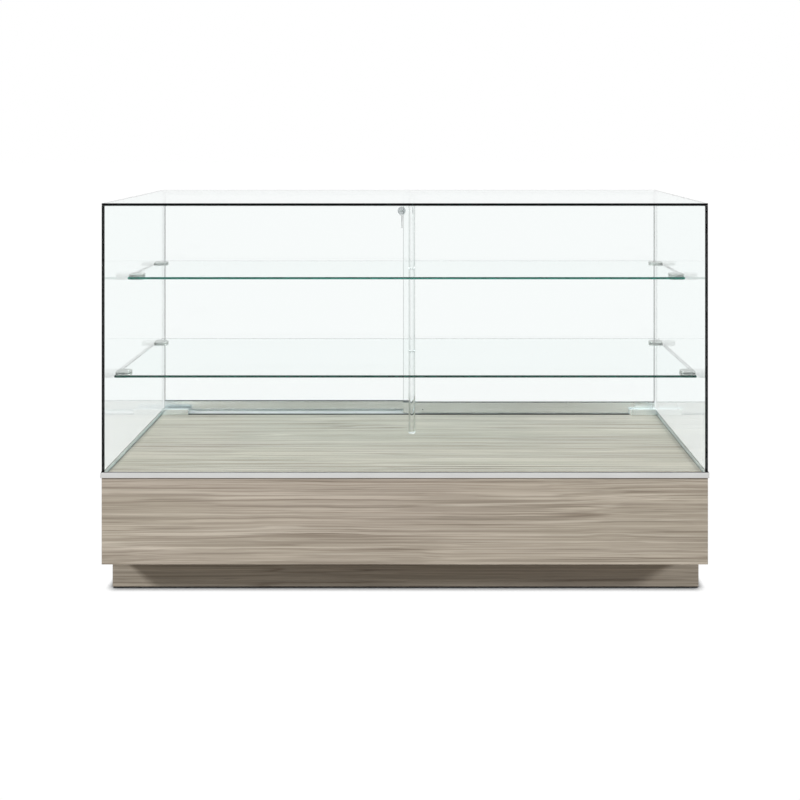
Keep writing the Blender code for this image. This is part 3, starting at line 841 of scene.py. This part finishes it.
# %% Deck
DECK_LIP = 0.0038
DECK_PLAY = 0.0003
low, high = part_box("deck_panel")
rear_low, rear_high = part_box("base_rear_panel")
front_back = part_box("base_front_panel")[1].y
deck = block("deck_board", (low.x, low.y, high.z - DECK_LIP), high)
slice_at(deck, "x", rear_low.x, rear_high.x)
slice_at(deck, "y", front_back + DECK_PLAY, rear_low.y - DECK_PLAY)
pull(
    deck, lambda c, n: n.z < -0.9 and abs(c.x) < rear_high.x and front_back < c.y < rear_low.y,
    (0, 0, low.z - (high.z - DECK_LIP)),
)
complete(
    deck, "showcase", ["deck_panel"], laminate_along, BOARD_EDGE / 2, segments=1,
    edge_finish=laminate_edge,
)
print("deck made")

# %% [markdown]
# ## Core board
# The bottom panel and the brace inside the base are plain particle board: flat brown chips of all
# sizes pressed together. Cells of noise make the chips, and a finer noise makes the dust between.

# %% Particle board on the two inner panels
particle_board, tree, surface, where = new_finish("particle_board")
chips = add_node(tree, "ShaderNodeTexVoronoi", Vector=where, Scale=260.0, Randomness=1.0)
chip_tone = add_node(tree, "ShaderNodeSeparateColor", Color=chips.outputs["Color"])
dust = stretched_noise(tree, where, (900, 900, 900), 2.0)
tone = maths(tree, "MULTIPLY_ADD", chip_tone.outputs[0], 0.7, maths(tree, "MULTIPLY", dust, 0.3))
feed(
    tree, surface, Base_Color=blend_colours(tree, tone, (0.30, 0.20, 0.12), (0.62, 0.49, 0.33)),
    Roughness=maths(tree, "MULTIPLY_ADD", dust, 0.2, 0.7),
)
add_relief(tree, surface, tone, 0.0002)
for node in ("base_bottom_panel", "base_centre_brace"):
    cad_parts[node].material_slots[0].material = particle_board
print("particle board on the inner panels")

# %% [markdown]
# ## Metals
# The trim, track and door shoes are aluminium extrusions, etched and clear anodised: pale, softly
# reflecting, with faint lines along their length from the die. Trim and track are etched deeper, so
# they scatter more light and count as only partly metallic. The clips are satin nickel, the
# lock is chrome plate over a polished casting, and the keys, plug and axles are plain steel with
# a tumbled surface. One helper makes them all, with the direction of the lines as an angle. Lines
# too fine to be told apart shimmer on a long flat wall, so those of the shoes are wide and shallow.

# %% Metal finishes
def metal_finish(
    name, dark, light, gloss, lines=700.0, relief=0.000003, turn=(0, 0, 0), patches=12.0,
    metallic=1.0,
):
    """gloss is the lowest and highest roughness; turn brings the lines from along X."""
    made, tree, surface, where = new_finish(name, metallic=metallic)
    turned = add_node(tree, "ShaderNodeMapping", Vector=where, Rotation=turn)
    drawn = use_group(tree, fine_lines, Where=turned.outputs[0], Lines_per_Metre=lines)
    touched = use_group(
        tree, handling, Where=where, Patches_per_Metre=patches, Lowest_Roughness=gloss[0],
        Highest_Roughness=gloss[1],
    )
    by_hand = maths(tree, "MULTIPLY", touched.outputs["Mask"], 0.4)
    tone = maths(tree, "MULTIPLY_ADD", drawn.outputs["Mask"], 0.6, by_hand)
    colour = blend_colours(tree, tone, dark, light)
    feed(tree, surface, Base_Color=colour, Roughness=touched.outputs["Roughness"])
    add_relief(tree, surface, drawn.outputs["Height"], relief)
    return made


SATIN_DARK, SATIN_LIGHT = (0.77, 0.78, 0.775), (0.84, 0.85, 0.845)
aluminium_along = metal_finish(
    "anodised_lengthwise", (0.70, 0.73, 0.735), (0.79, 0.82, 0.825), (0.24, 0.28), lines=250.0,
    relief=0.000001, patches=3.0,
)
satin_along, satin_deep = (
    metal_finish(name, SATIN_DARK, SATIN_LIGHT, (0.30, 0.34), turn=turn, metallic=0.6)
    for name, turn in (
        ("satin_anodised_lengthwise", (0, 0, 0)),
        ("satin_anodised_front_to_back", (0, 0, math.pi / 2)),
    )
)
satin_nickel = metal_finish(
    "satin_nickel", (0.46, 0.47, 0.46), (0.58, 0.59, 0.57), (0.16, 0.24), lines=1500.0,
    relief=0.000002,
)
chrome_plate = metal_finish(
    "chrome_plate", (0.46, 0.48, 0.49), (0.62, 0.64, 0.65), (0.10, 0.18), lines=2000.0,
    relief=0.000001, patches=120.0,
)
plain_steel = metal_finish(
    "plain_steel", (0.20, 0.21, 0.21), (0.36, 0.37, 0.37), (0.22, 0.34), lines=1500.0,
    relief=0.000003, patches=180.0,
)
dark_screw = metal_finish(
    "blackened_steel", (0.045, 0.045, 0.045), (0.10, 0.10, 0.10), (0.35, 0.5), lines=1500.0,
    relief=0.000003, patches=300.0,
)
print("metal finishes made")

# %% [markdown]
# ## Glazing trim
# An aluminium angle wraps the foot of the glass on three sides. Its thin leg goes under the pane
# and its lip stands outside, and the strips meet in mitres at the front corners. Each starts as a
# block the size of the lip, the leg is pulled out of its inner face, and the ends are sawn at 45
# degrees.

# %% Trim strips
TRIM_WALL = 0.0023
TRIM_LEG = 0.001
TRIM_EDGE = 0.0005
front_low, front_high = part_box("trim_front")


def angle_strip(name, low, high, wall_axis, outward):
    """The lip is on the outward side of the box, and the leg reaches back to the other side."""
    axis = AXES[wall_axis]
    lip_low, lip_high = list(low), list(high)
    if outward < 0:
        lip_high[axis] = low[axis] + TRIM_WALL
    else:
        lip_low[axis] = high[axis] - TRIM_WALL
    reach = [0, 0, 0]
    reach[axis] = -outward * ((high[axis] - low[axis]) - TRIM_WALL)
    strip = block(name, lip_low, lip_high)
    slice_at(strip, "z", low[2] + TRIM_LEG)
    pull(strip, lambda c, n: n[axis] * outward < -0.9 and c.z < low[2] + TRIM_LEG, reach)
    return strip


strip = angle_strip("front_trim_strip", front_low, front_high, "y", -1)
trim_off(strip, (front_high.x, front_low.y, 0), (1, 1, 0))
trim_off(strip, (front_low.x, front_low.y, 0), (-1, 1, 0))
complete(strip, "showcase", ["trim_front"], satin_along, TRIM_EDGE, segments=3)
for side, sign in (("left", -1), ("right", 1)):
    low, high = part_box(f"trim_{side}")
    strip = angle_strip(f"{side}_trim_strip", low, high, "x", sign)
    trim_off(strip, (high.x if sign > 0 else low.x, low.y, 0), (-sign, -1, 0))
    complete(strip, "showcase", [f"trim_{side}"], satin_deep, TRIM_EDGE, segments=3)
print("trim strips made")

# %% [markdown]
# ## Glazing bead
# A strip of black rubber is pressed between the lip of the trim and the glass, and its rounded top
# shows as a thin dark line above the metal. That line is partly the rubber and partly painted
# shade, which stands for the shadow in the narrow gap between lip and glass. It follows the trim
# round the three sides, so it is made and mitred like it.

# %% Bead above the trim
BEAD_RISE = 0.0013
BEAD_IN = 0.0009
bead_x = front_high.x - BEAD_IN
bead_y = front_low.y + BEAD_IN
# The bead's dark top is partly rubber and partly painted shade of the gap above the lip.
bead = block(
    "front_glazing_bead", (-bead_x, bead_y, front_high.z + HAIR),
    (bead_x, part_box("front_pane")[0].y - HAIR, front_high.z + BEAD_RISE),
)
trim_off(bead, (bead_x, bead_y, 0), (1, 1, 0))
trim_off(bead, (-bead_x, bead_y, 0), (-1, 1, 0))
beads = [bead]
for side, sign in (("left", -1), ("right", 1)):
    low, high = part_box(f"trim_{side}")
    pane_low, pane_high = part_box(f"{side}_pane")
    pane_face = pane_low.x - HAIR if sign < 0 else pane_high.x + HAIR
    ends = sorted((sign * bead_x, pane_face))
    bead = block(
        f"{side}_glazing_bead", (ends[0], bead_y, high.z + HAIR),
        (ends[1], high.y, high.z + BEAD_RISE),
    )
    trim_off(bead, (sign * bead_x, bead_y + 3 * HAIR, 0), (-sign, -1, 0))
    beads.append(bead)
print("glazing beads cut:", len(beads))

# %% [markdown]
# ## Rubber and nylon
# The seal under the panes and the glazing channels of the doors are black rubber with a dull,
# slightly dusty skin. The wheels are white nylon and the glides black, both moulded, so their
# gloss is even with a very fine orange peel.

# %% Rubber and nylon finishes
seal_rubber, tree, surface, where = new_finish("seal_rubber_skin", IOR=1.5)
skin = stretched_noise(tree, where, (1400, 1400, 1400), 3.0)
dusting = spread(tree, stretched_noise(tree, where, (60, 60, 60), 4.0, 0.6, (2, 2, 2)), 0.45, 0.75)
feed(
    tree, surface,
    Base_Color=blend_colours(tree, dusting, (0.008, 0.009, 0.009), (0.026, 0.026, 0.025)),
    Roughness=maths(tree, "MULTIPLY_ADD", dusting, 0.25, 0.55),
)
add_relief(tree, surface, skin, 0.00004)


def nylon_finish(name, dark, light):
    made, tree, surface, where = new_finish(name, IOR=1.53)
    peel = stretched_noise(tree, where, (700, 700, 700), 2.0)
    clouds = stretched_noise(tree, where, (90, 90, 90), 3.0, 0.6, (1, 4, 2))
    roughness = maths(tree, "MULTIPLY_ADD", clouds, 0.15, 0.38)
    feed(tree, surface, Base_Color=blend_colours(tree, clouds, dark, light), Roughness=roughness)
    add_relief(tree, surface, peel, 0.00003)
    return made


white_nylon = nylon_finish("white_nylon", (0.66, 0.65, 0.61), (0.80, 0.79, 0.76))
black_nylon = nylon_finish("black_nylon", (0.020, 0.020, 0.021), (0.034, 0.034, 0.035))
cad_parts["glazing_seal"].material_slots[0].material = seal_rubber
RUBBER_EDGE = 0.0003


def rubber_strip(strip, body, edge=RUBBER_EDGE):
    complete(strip, body, [], seal_rubber, edge, segments=3)


for bead in beads:
    rubber_strip(bead, "showcase")
print("rubber and nylon finishes made")

# %% [markdown]
# ## Door track and guide
# The doors roll on two ribs that stand up from a thin plate, and a clear channel under the top
# pane keeps their heads in line. Both are made alike: a plate is marked with a line at each side
# of each rib, and the faces between the lines are pulled out. A black bead runs along the front
# foot of the track. It is painted shade: a dark strip that stands for the shadow gap under the
# track's front edge.

# %% Track and guide
RIB_WIDTH = 0.0024
TRACK_PLATE = 0.0012
GUIDE_ROOF = 0.0025
GUIDE_SLOT = 0.0076
TRACK_EDGE = 0.0004
GUIDE_EDGE = 0.0003
SHADOW_STRIP_DEPTH = 0.0016
SHADOW_STRIP_HEIGHT = 0.0036
SHADOW_STRIP_SLOPE = 0.8
lanes = [sum(c.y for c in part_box(f"{side}_door_glass")) / 2 for side in ("right", "left")]


def ribbed_rail(name, low, high, width, in_lane, rise):
    """A plate marked off a width round each lane. The faces in the lanes, or all the others, are
    pulled out by the rise, which is upwards or downwards."""
    rail = block(name, low, high)
    slice_at(rail, "y", *[lane + side * width / 2 for lane in lanes for side in (-1, 1)])

    def pulled(c, n):
        near_lane = min(abs(c.y - lane) for lane in lanes) < width / 2
        return n.z * rise > 0.9 * abs(rise) and near_lane == in_lane

    pull(rail, pulled, (0, 0, rise))
    return rail


low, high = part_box("door_track_lower")
plate_top = low.z + TRACK_PLATE
track = ribbed_rail(
    "door_track_rail", low, (high.x, high.y, plate_top), RIB_WIDTH, True, high.z - plate_top,
)
complete(track, "showcase", ["door_track_lower"], satin_along, TRACK_EDGE)

deck_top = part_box("deck_panel")[1].z
# Painted shade: a dark strip standing for the shadow gap under the track's front edge.
bead = block(
    "door_track_shadow_strip", (low.x, low.y - SHADOW_STRIP_DEPTH, deck_top + HAIR),
    (high.x, low.y - HAIR, deck_top + SHADOW_STRIP_HEIGHT),
)
pick(bead, lambda c, n: n.y < -0.9)
bpy.ops.transform.resize(value=(1, 1, SHADOW_STRIP_SLOPE), center_override=(0, low.y, deck_top + HAIR))
done()
rubber_strip(bead, "showcase", TRACK_EDGE)

low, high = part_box("door_guide_upper")
roof = high.z - GUIDE_ROOF
guide = ribbed_rail(
    "door_guide_channel", (low.x, low.y, roof), high, GUIDE_SLOT, False, low.z - roof
)
complete(
    guide, "showcase", ["door_guide_upper"], polished_acrylic, GUIDE_EDGE, segments=1
)
print("track and guide made")

# %% [markdown]
# ## End blocks
# A rounded bar at each end of the track stops the door. It is screwed down through its hidden foot,
# so only its plain rounded top shows.

# %% End blocks
BLOCK_ROUND = 0.0012
for side in ("left", "right"):
    node = f"track_end_block_{side}"
    stop = block(node + "_bar", *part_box(node))
    complete(stop, "showcase", [node], aluminium_along, BLOCK_ROUND, segments=4)
print("end blocks made")

# %% [markdown]
# ## Door shoes
# Each door stands in a deep aluminium channel of H section. The upper channel holds the glass and
# the lower one hides the wheels. The web between them is drawn first, and the four walls are
# pulled from it. Two holes through the lower walls carry the axles. A rubber glazing strip shows
# as a thin dark line where the glass goes in.

# %% Shoes and glazing strips
WEB_BOTTOM = 0.0185
WEB = 0.0015
UPPER_POCKET = 0.0033
LOWER_CHANNEL = 0.00425
AXLE_PLAY = 0.0003
SHOE_EDGE = 0.0003
STRIP_LIP = 0.0009
STRIP_INSET = 0.0008
STRIP_SHORT = 0.001
for side, lane in zip(("right", "left"), lanes):
    node = f"{side}_door_shoe"
    body = f"{side}_door"
    low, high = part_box(node)
    web_low = low.z + WEB_BOTTOM
    shoe = block(node + "_channel", (low.x, low.y, web_low), (high.x, high.y, web_low + WEB))
    slice_at(shoe, "y", *[lane + s * w for s in (-1, 1) for w in (UPPER_POCKET, LOWER_CHANNEL)])
    pull(
        shoe, lambda c, n: n.z > 0.9 and abs(c.y - lane) > UPPER_POCKET,
        (0, 0, high.z - web_low - WEB),
    )
    pull(shoe, lambda c, n: n.z < -0.9 and abs(c.y - lane) > LOWER_CHANNEL, (0, 0, low.z - web_low))
    for end in ("outer", "inner"):
        axle_low, axle_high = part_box(f"{side}_door_axle_{end}")
        larger = Vector((AXLE_PLAY, OVERRUN, AXLE_PLAY))
        cut_out(shoe, rod("axle_drill", axle_low - larger, axle_high + larger, "y", 32))
    complete(shoe, body, [node], aluminium_along, SHOE_EDGE)

    pane_low, pane_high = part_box(f"{side}_door_glass")
    for face, near, far in (
        ("front", low.y + STRIP_INSET, pane_low.y - HAIR),
        ("rear", pane_high.y + HAIR, high.y - STRIP_INSET),
    ):
        strip = block(
            f"{side}_door_glazing_strip_{face}", (low.x + STRIP_SHORT, near, high.z + HAIR),
            (high.x - STRIP_SHORT, far, high.z + STRIP_LIP),
        )
        rubber_strip(strip, body)
print("shoes and glazing strips made")

# %% [markdown]
# ## Door wheels and axles
# A wheel is a nylon disc with a groove that sits over the rib. The disc is marked with four lines
# round its rim, the two inner lines are drawn in to the depth of the groove, and each face gets a
# shallow dish round the hub. The axle is a steel pin with rounded ends.

# %% Wheels and axles
GROOVE_RADIUS = 0.005
GROOVE_HALF = 0.0015
GROOVE_SLOPE = 0.00067
DISH_RADIUS = 0.0047
HUB_RADIUS = 0.0028
DISH_DEPTH = 0.0008
DISH_SLOPE = 0.0002
WHEEL_EDGE = 0.0002
AXLE_EDGE = 0.0005


def groove_wheel(name, low, high):
    """A disc with a groove round its rim and a dish in each face."""
    centre = (low + high) / 2
    radius = (high.x - low.x) / 2
    wheel = rod(name, low, high, "y", 48)
    outer_line = GROOVE_HALF + GROOVE_SLOPE
    slice_at(wheel, "y", *[centre.y + s * o for s in (-1, 1) for o in (GROOVE_HALF, outer_line)])
    in_groove = GROOVE_HALF + GROOVE_SLOPE / 2
    shrink(wheel, lambda place: abs(place.y - centre.y) < in_groove, GROOVE_RADIUS / radius, centre)
    for face in (-1, 1):
        inset(
            wheel, lambda c, n: n.y * face > 0.9 and abs(c.y - centre.y) > outer_line,
            (radius - DISH_RADIUS, 0), (DISH_SLOPE, -DISH_DEPTH), (DISH_RADIUS - HUB_RADIUS, 0),
            (DISH_SLOPE, DISH_DEPTH),
        )
    return wheel


for side in ("left", "right"):
    for end in ("outer", "inner"):
        node = f"{side}_door_wheel_{end}"
        wheel = groove_wheel(node + "_disc", *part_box(node))
        complete(wheel, f"{side}_wheel_{end}", [node], white_nylon, WHEEL_EDGE, angle=40)
        node = f"{side}_door_axle_{end}"
        axle = rod(node + "_pin", *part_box(node), "y", 32)
        complete(axle, f"{side}_door", [node], plain_steel, AXLE_EDGE, segments=3)
print("wheels and axles made")

# %% [markdown]
# ## Shelf clips
# Each shelf rests in four clamps fixed to the side panes. A clamp is a half-round casting with a
# slot for the glass, and a small dark screw in its lower jaw that tightens it. The round nose is
# half of a rod, pulled back to the pane, and the slot is milled out of it.

# %% Clips and their screws
CLIP_NOSE = 0.015
CLIP_WEB = 0.0024
SLOT_PLAY = 0.0003
CLIP_EDGE = 0.0009
SCREW_FROM_PANE = 0.026
SCREW_RADIUS = 0.0024
SCREW_PROUD = 0.0012
SCREW_EDGE = 0.0002
SOCKET_RADIUS = 0.0013
SOCKET_DEPTH = 0.0009


def shelf_clip(name, low, high, side, shelf_low, shelf_high):
    """side is -1 at the left pane and 1 at the right one."""
    wall = low.x if side < 0 else high.x
    tip = high.x if side < 0 else low.x
    middle = (low.y + high.y) / 2
    nose_centre = tip + side * CLIP_NOSE
    nose_low = (nose_centre - CLIP_NOSE, low.y, low.z)
    nose_high = (nose_centre + CLIP_NOSE, high.y, high.z)
    clip = rod(name, nose_low, nose_high, "z", 64)
    trim_off(clip, (nose_centre, middle, 0), (side, 0, 0))
    pull(clip, lambda c, n: n.x * side > 0.99, (wall - nose_centre, 0, 0))
    inner = wall - side * CLIP_WEB
    ends = sorted((inner, tip - side * CLIP_NOSE))
    slot = block(
        "slot_mill", (ends[0], low.y - OVERRUN, shelf_low - SLOT_PLAY),
        (ends[1], high.y + OVERRUN, shelf_high + SLOT_PLAY),
    )
    return cut_out(clip, slot)


def clamp_screw(name, x, y, top):
    """A set screw seen from below: a short stud with a socket sunk in its end."""
    low = (x - SCREW_RADIUS, y - SCREW_RADIUS, top - SCREW_PROUD)
    screw = rod(name, low, (x + SCREW_RADIUS, y + SCREW_RADIUS, top + HAIR), "z", 24)
    inset(screw, lambda c, n: n.z < -0.9, (SCREW_RADIUS - SOCKET_RADIUS, 0), (HAIR, -SOCKET_DEPTH))
    return screw


for shelf in ("lower", "upper"):
    shelf_low, shelf_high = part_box(f"{shelf}_shelf")
    for row in ("front", "rear"):
        for side, sign in (("left", -1), ("right", 1)):
            node = f"clip_{shelf}_{row}_{side}"
            low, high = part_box(node)
            clip = shelf_clip(node + "_jaws", low, high, sign, shelf_low.z, shelf_high.z)
            complete(
                clip, "showcase", [node], satin_nickel, CLIP_EDGE, segments=3,
                angle=40,
            )
            wall = low.x if sign < 0 else high.x
            screw = clamp_screw(
                node + "_screw", wall - sign * SCREW_FROM_PANE, (low.y + high.y) / 2, low.z
            )
            complete(screw, "showcase", [], dark_screw, SCREW_EDGE)
print("eight clips made")

# %% [markdown]
# ## Glides
# Four nylon discs keep the plinth off the floor. Only their rounded edge shows.

# %% Glides
GLIDE_EDGE = 0.0007
GLIDE_RIM = 0.002
GLIDE_HOLLOW = (0.0006, -0.0004)
for row in ("front", "rear"):
    for side in ("left", "right"):
        node = f"glide_{row}_{side}"
        glide = rod(node + "_disc", *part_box(node), "z", 48)
        inset(glide, lambda c, n: n.z < -0.9, (GLIDE_RIM, 0), GLIDE_HOLLOW)
        complete(glide, "showcase", [node], black_nylon, GLIDE_EDGE, segments=3)
print("glides made")

# %% [markdown]
# ## Lock barrel and nut
# The lock is a round barrel through the hole in the outer door, with a wide head behind the glass
# and a notched nut in front of it. The head is drawn first, and its front face is inset and pulled
# out to make the barrel. It is then bored from behind for the plug, and from the front for the
# bolt. The nut is a disc whose rim is drawn in at eight places, where a pin spanner grips it.

# %% Lock barrel
PLUG_PLAY = 0.0003
HEAD_RIM = 0.003
LOCK_EDGE = 0.0003
plug_low, plug_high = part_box("lock_plug")
bolt_low, bolt_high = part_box("lock_bolt")
head_radius = (barrel_high.x - barrel_low.x) / 2
plug_radius = (plug_high.x - plug_low.x) / 2
bolt_radius = (bolt_high.x - bolt_low.x) / 2
head_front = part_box("left_door_glass")[1].y + HOLE_CLEARANCE
barrel = lock_bore("lock_barrel_casting", head_radius, head_front, barrel_high.y, sides=96)
inset(barrel, lambda c, n: n.y > 0.9, (HEAD_RIM, 0), (LOCK_EDGE, -LOCK_EDGE))
pick(barrel, lambda c, n: n.y < -0.9)
bpy.ops.mesh.inset(thickness=head_radius - BARREL_RADIUS)
bpy.ops.mesh.extrude_region_move(
    TRANSFORM_OT_translate={"value": (0, barrel_low.y - head_front, 0)}
)
done()
for name, radius, near, far in (
    ("plug_bore", plug_radius, plug_low.y - PLUG_PLAY, barrel_high.y + OVERRUN),
    ("bolt_bore", bolt_radius, barrel_low.y - OVERRUN, plug_low.y),
):
    cut_out(barrel, lock_bore(name, radius + PLUG_PLAY, near, far))
complete(
    barrel, "left_door", ["lock_barrel"], chrome_plate, LOCK_EDGE * 2, segments=3,
    angle=40, smooth=30,
)
print("barrel made, head", round(head_radius * 2000, 1), "mm across")

# %% Lock nut
NUT_HOLE_PLAY = 0.0003
NUT_SIDES = 72
SIDES_PER_NOTCH = 9
NOTCH_DEPTH = 0.0012
nut_radius = (nut_high.x - nut_low.x) / 2
nut = lock_bore("lock_nut_ring", nut_radius, nut_low.y, nut_high.y, sides=NUT_SIDES)


def in_notch(place):
    turn = math.atan2(place.z - lock_z, place.x - lock_x) / math.tau * NUT_SIDES
    return round(turn) % SIDES_PER_NOTCH in (0, 1)


shrink(nut, in_notch, 1 - NOTCH_DEPTH / nut_radius, (lock_x, nut_low.y, lock_z))
bore = lock_bore(
    "nut_bore", BARREL_RADIUS + NUT_HOLE_PLAY, nut_low.y - OVERRUN, nut_high.y + OVERRUN
)
cut_out(nut, bore)
complete(nut, "left_door", ["lock_nut"], chrome_plate, LOCK_EDGE, angle=40, smooth=30)
print("nut made with", NUT_SIDES // SIDES_PER_NOTCH, "notches")

# %% [markdown]
# ## Plug, bolt and keys
# The plug turns in the barrel with the key, and drives the bolt forward behind the other door. The
# plug is a rod with a dished face and a slot for the key. The bolt is a rod with a rounded nose.
# The keys have the outline that the frame already holds, so their mesh is a copy of the frame's
# own, joined up first, with a groove milled along each side of the blade and its edges broken.

# %% Plug and bolt
KEYWAY_PLAY = 0.0003
KEY_BLADE = 0.008
KEY_BOW_RADIUS = 0.010
PLUG_FACE = 0.0007
BOLT_RIM = 0.35
key_low, key_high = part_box("key")
plug = lock_bore("lock_plug_rod", plug_radius, plug_low.y, plug_high.y)
inset(plug, lambda c, n: n.y > 0.9, (PLUG_FACE, 0), (PLUG_FACE, -PLUG_FACE / 2))
keyway = block(
    "keyway_cutter",
    (key_low.x - KEYWAY_PLAY, key_low.y - KEYWAY_PLAY, lock_z - KEY_BLADE / 2 - KEYWAY_PLAY),
    (key_high.x + KEYWAY_PLAY, plug_high.y + OVERRUN, lock_z + KEY_BLADE / 2 + KEYWAY_PLAY),
)
cut_out(plug, keyway)
complete(plug, "lock_key", ["lock_plug"], plain_steel, LOCK_EDGE / 2, angle=40, smooth=30)

bolt = rod("lock_bolt_rod", bolt_low, bolt_high, "y", 48)
inset(bolt, lambda c, n: n.y < -0.9, (bolt_radius * BOLT_RIM, 0), (LOCK_EDGE, -LOCK_EDGE))
complete(
    bolt, "bolt", ["lock_bolt"], plain_steel, LOCK_EDGE * 1.5, segments=3, angle=40,
    smooth=30,
)
print("plug and bolt made")

# %% Keys
GROOVE_DEPTH = 0.0004
GROOVE_WIDTH = 0.0012
GROOVE_ASIDE = 0.6
KEY_EDGE = 0.00025
SAME_POINT = 0.000001
for node, body, along in (("key", "lock_key", AXES["y"]), ("spare_key", "spare", AXES["z"])):
    low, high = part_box(node)
    key = bpy.data.objects.new(node + "_blank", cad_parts[node].data.copy())
    scene.collection.objects.link(key)
    edit_all(key)
    bpy.ops.mesh.remove_doubles(threshold=SAME_POINT)
    bpy.ops.mesh.dissolve_limited(angle_limit=math.radians(1))
    done()
    across = AXES["y"] + AXES["z"] - along
    middle = (low[across] + high[across]) / 2
    for face in (-1, 1):
        surface_x = low.x if face < 0 else high.x
        groove_low, groove_high = Vector(low), Vector(high)
        groove_low.x = surface_x - GROOVE_DEPTH
        groove_high.x = surface_x + GROOVE_DEPTH
        groove_low[along] = low[along] - OVERRUN
        groove_high[along] = high[along] - 2 * KEY_BOW_RADIUS
        groove_low[across] = middle + (face * GROOVE_ASIDE - 0.5) * GROOVE_WIDTH
        groove_high[across] = groove_low[across] + GROOVE_WIDTH
        cut_out(key, block("groove_cutter", groove_low, groove_high))
    complete(key, body, [node], plain_steel, KEY_EDGE, angle=40, smooth=30)
print("two keys made")

# %% [markdown]
# ## Key ring
# A split ring is flat wire wound twice round. A small circle is swept round the ring's centre by a
# screw, which moves it aside by one wire in each turn, and the two open ends are closed.

# %% Split ring
WIRE_RADIUS = 0.0003
RING_TURNS = 2
RING_SWEEP = 0.97
ring_low, ring_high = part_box("key_ring")
ring_middle = (ring_low + ring_high) / 2
ring_radius = (ring_high.x - ring_low.x) / 2 - (ring_high.y - ring_low.y) / 2
bpy.ops.object.select_all(action="DESELECT")
bpy.ops.mesh.primitive_circle_add(vertices=10, radius=WIRE_RADIUS, location=ring_middle)
ring = bpy.context.object
ring.name = ring.data.name = "key_ring_wire"
edit_all(ring)
bpy.ops.transform.translate(value=(ring_radius, -WIRE_RADIUS * RING_TURNS, 0))
done()
apply_modifier(
    ring, "SCREW", axis="Y", angle=math.tau * RING_SWEEP, iterations=RING_TURNS,
    screw_offset=2 * WIRE_RADIUS, steps=72, render_steps=72,
)
edit_all(ring)
bpy.ops.mesh.fill_holes(sides=0)
bpy.ops.mesh.normals_make_consistent(inside=False)
done()
settle("key_ring_wire")
give_finishes(ring, plain_steel)
hand_over(ring, "ring", ["key_ring"], smooth=60)
print("split ring wound", RING_TURNS, "times,", round(ring_radius * 2000, 1), "mm across")
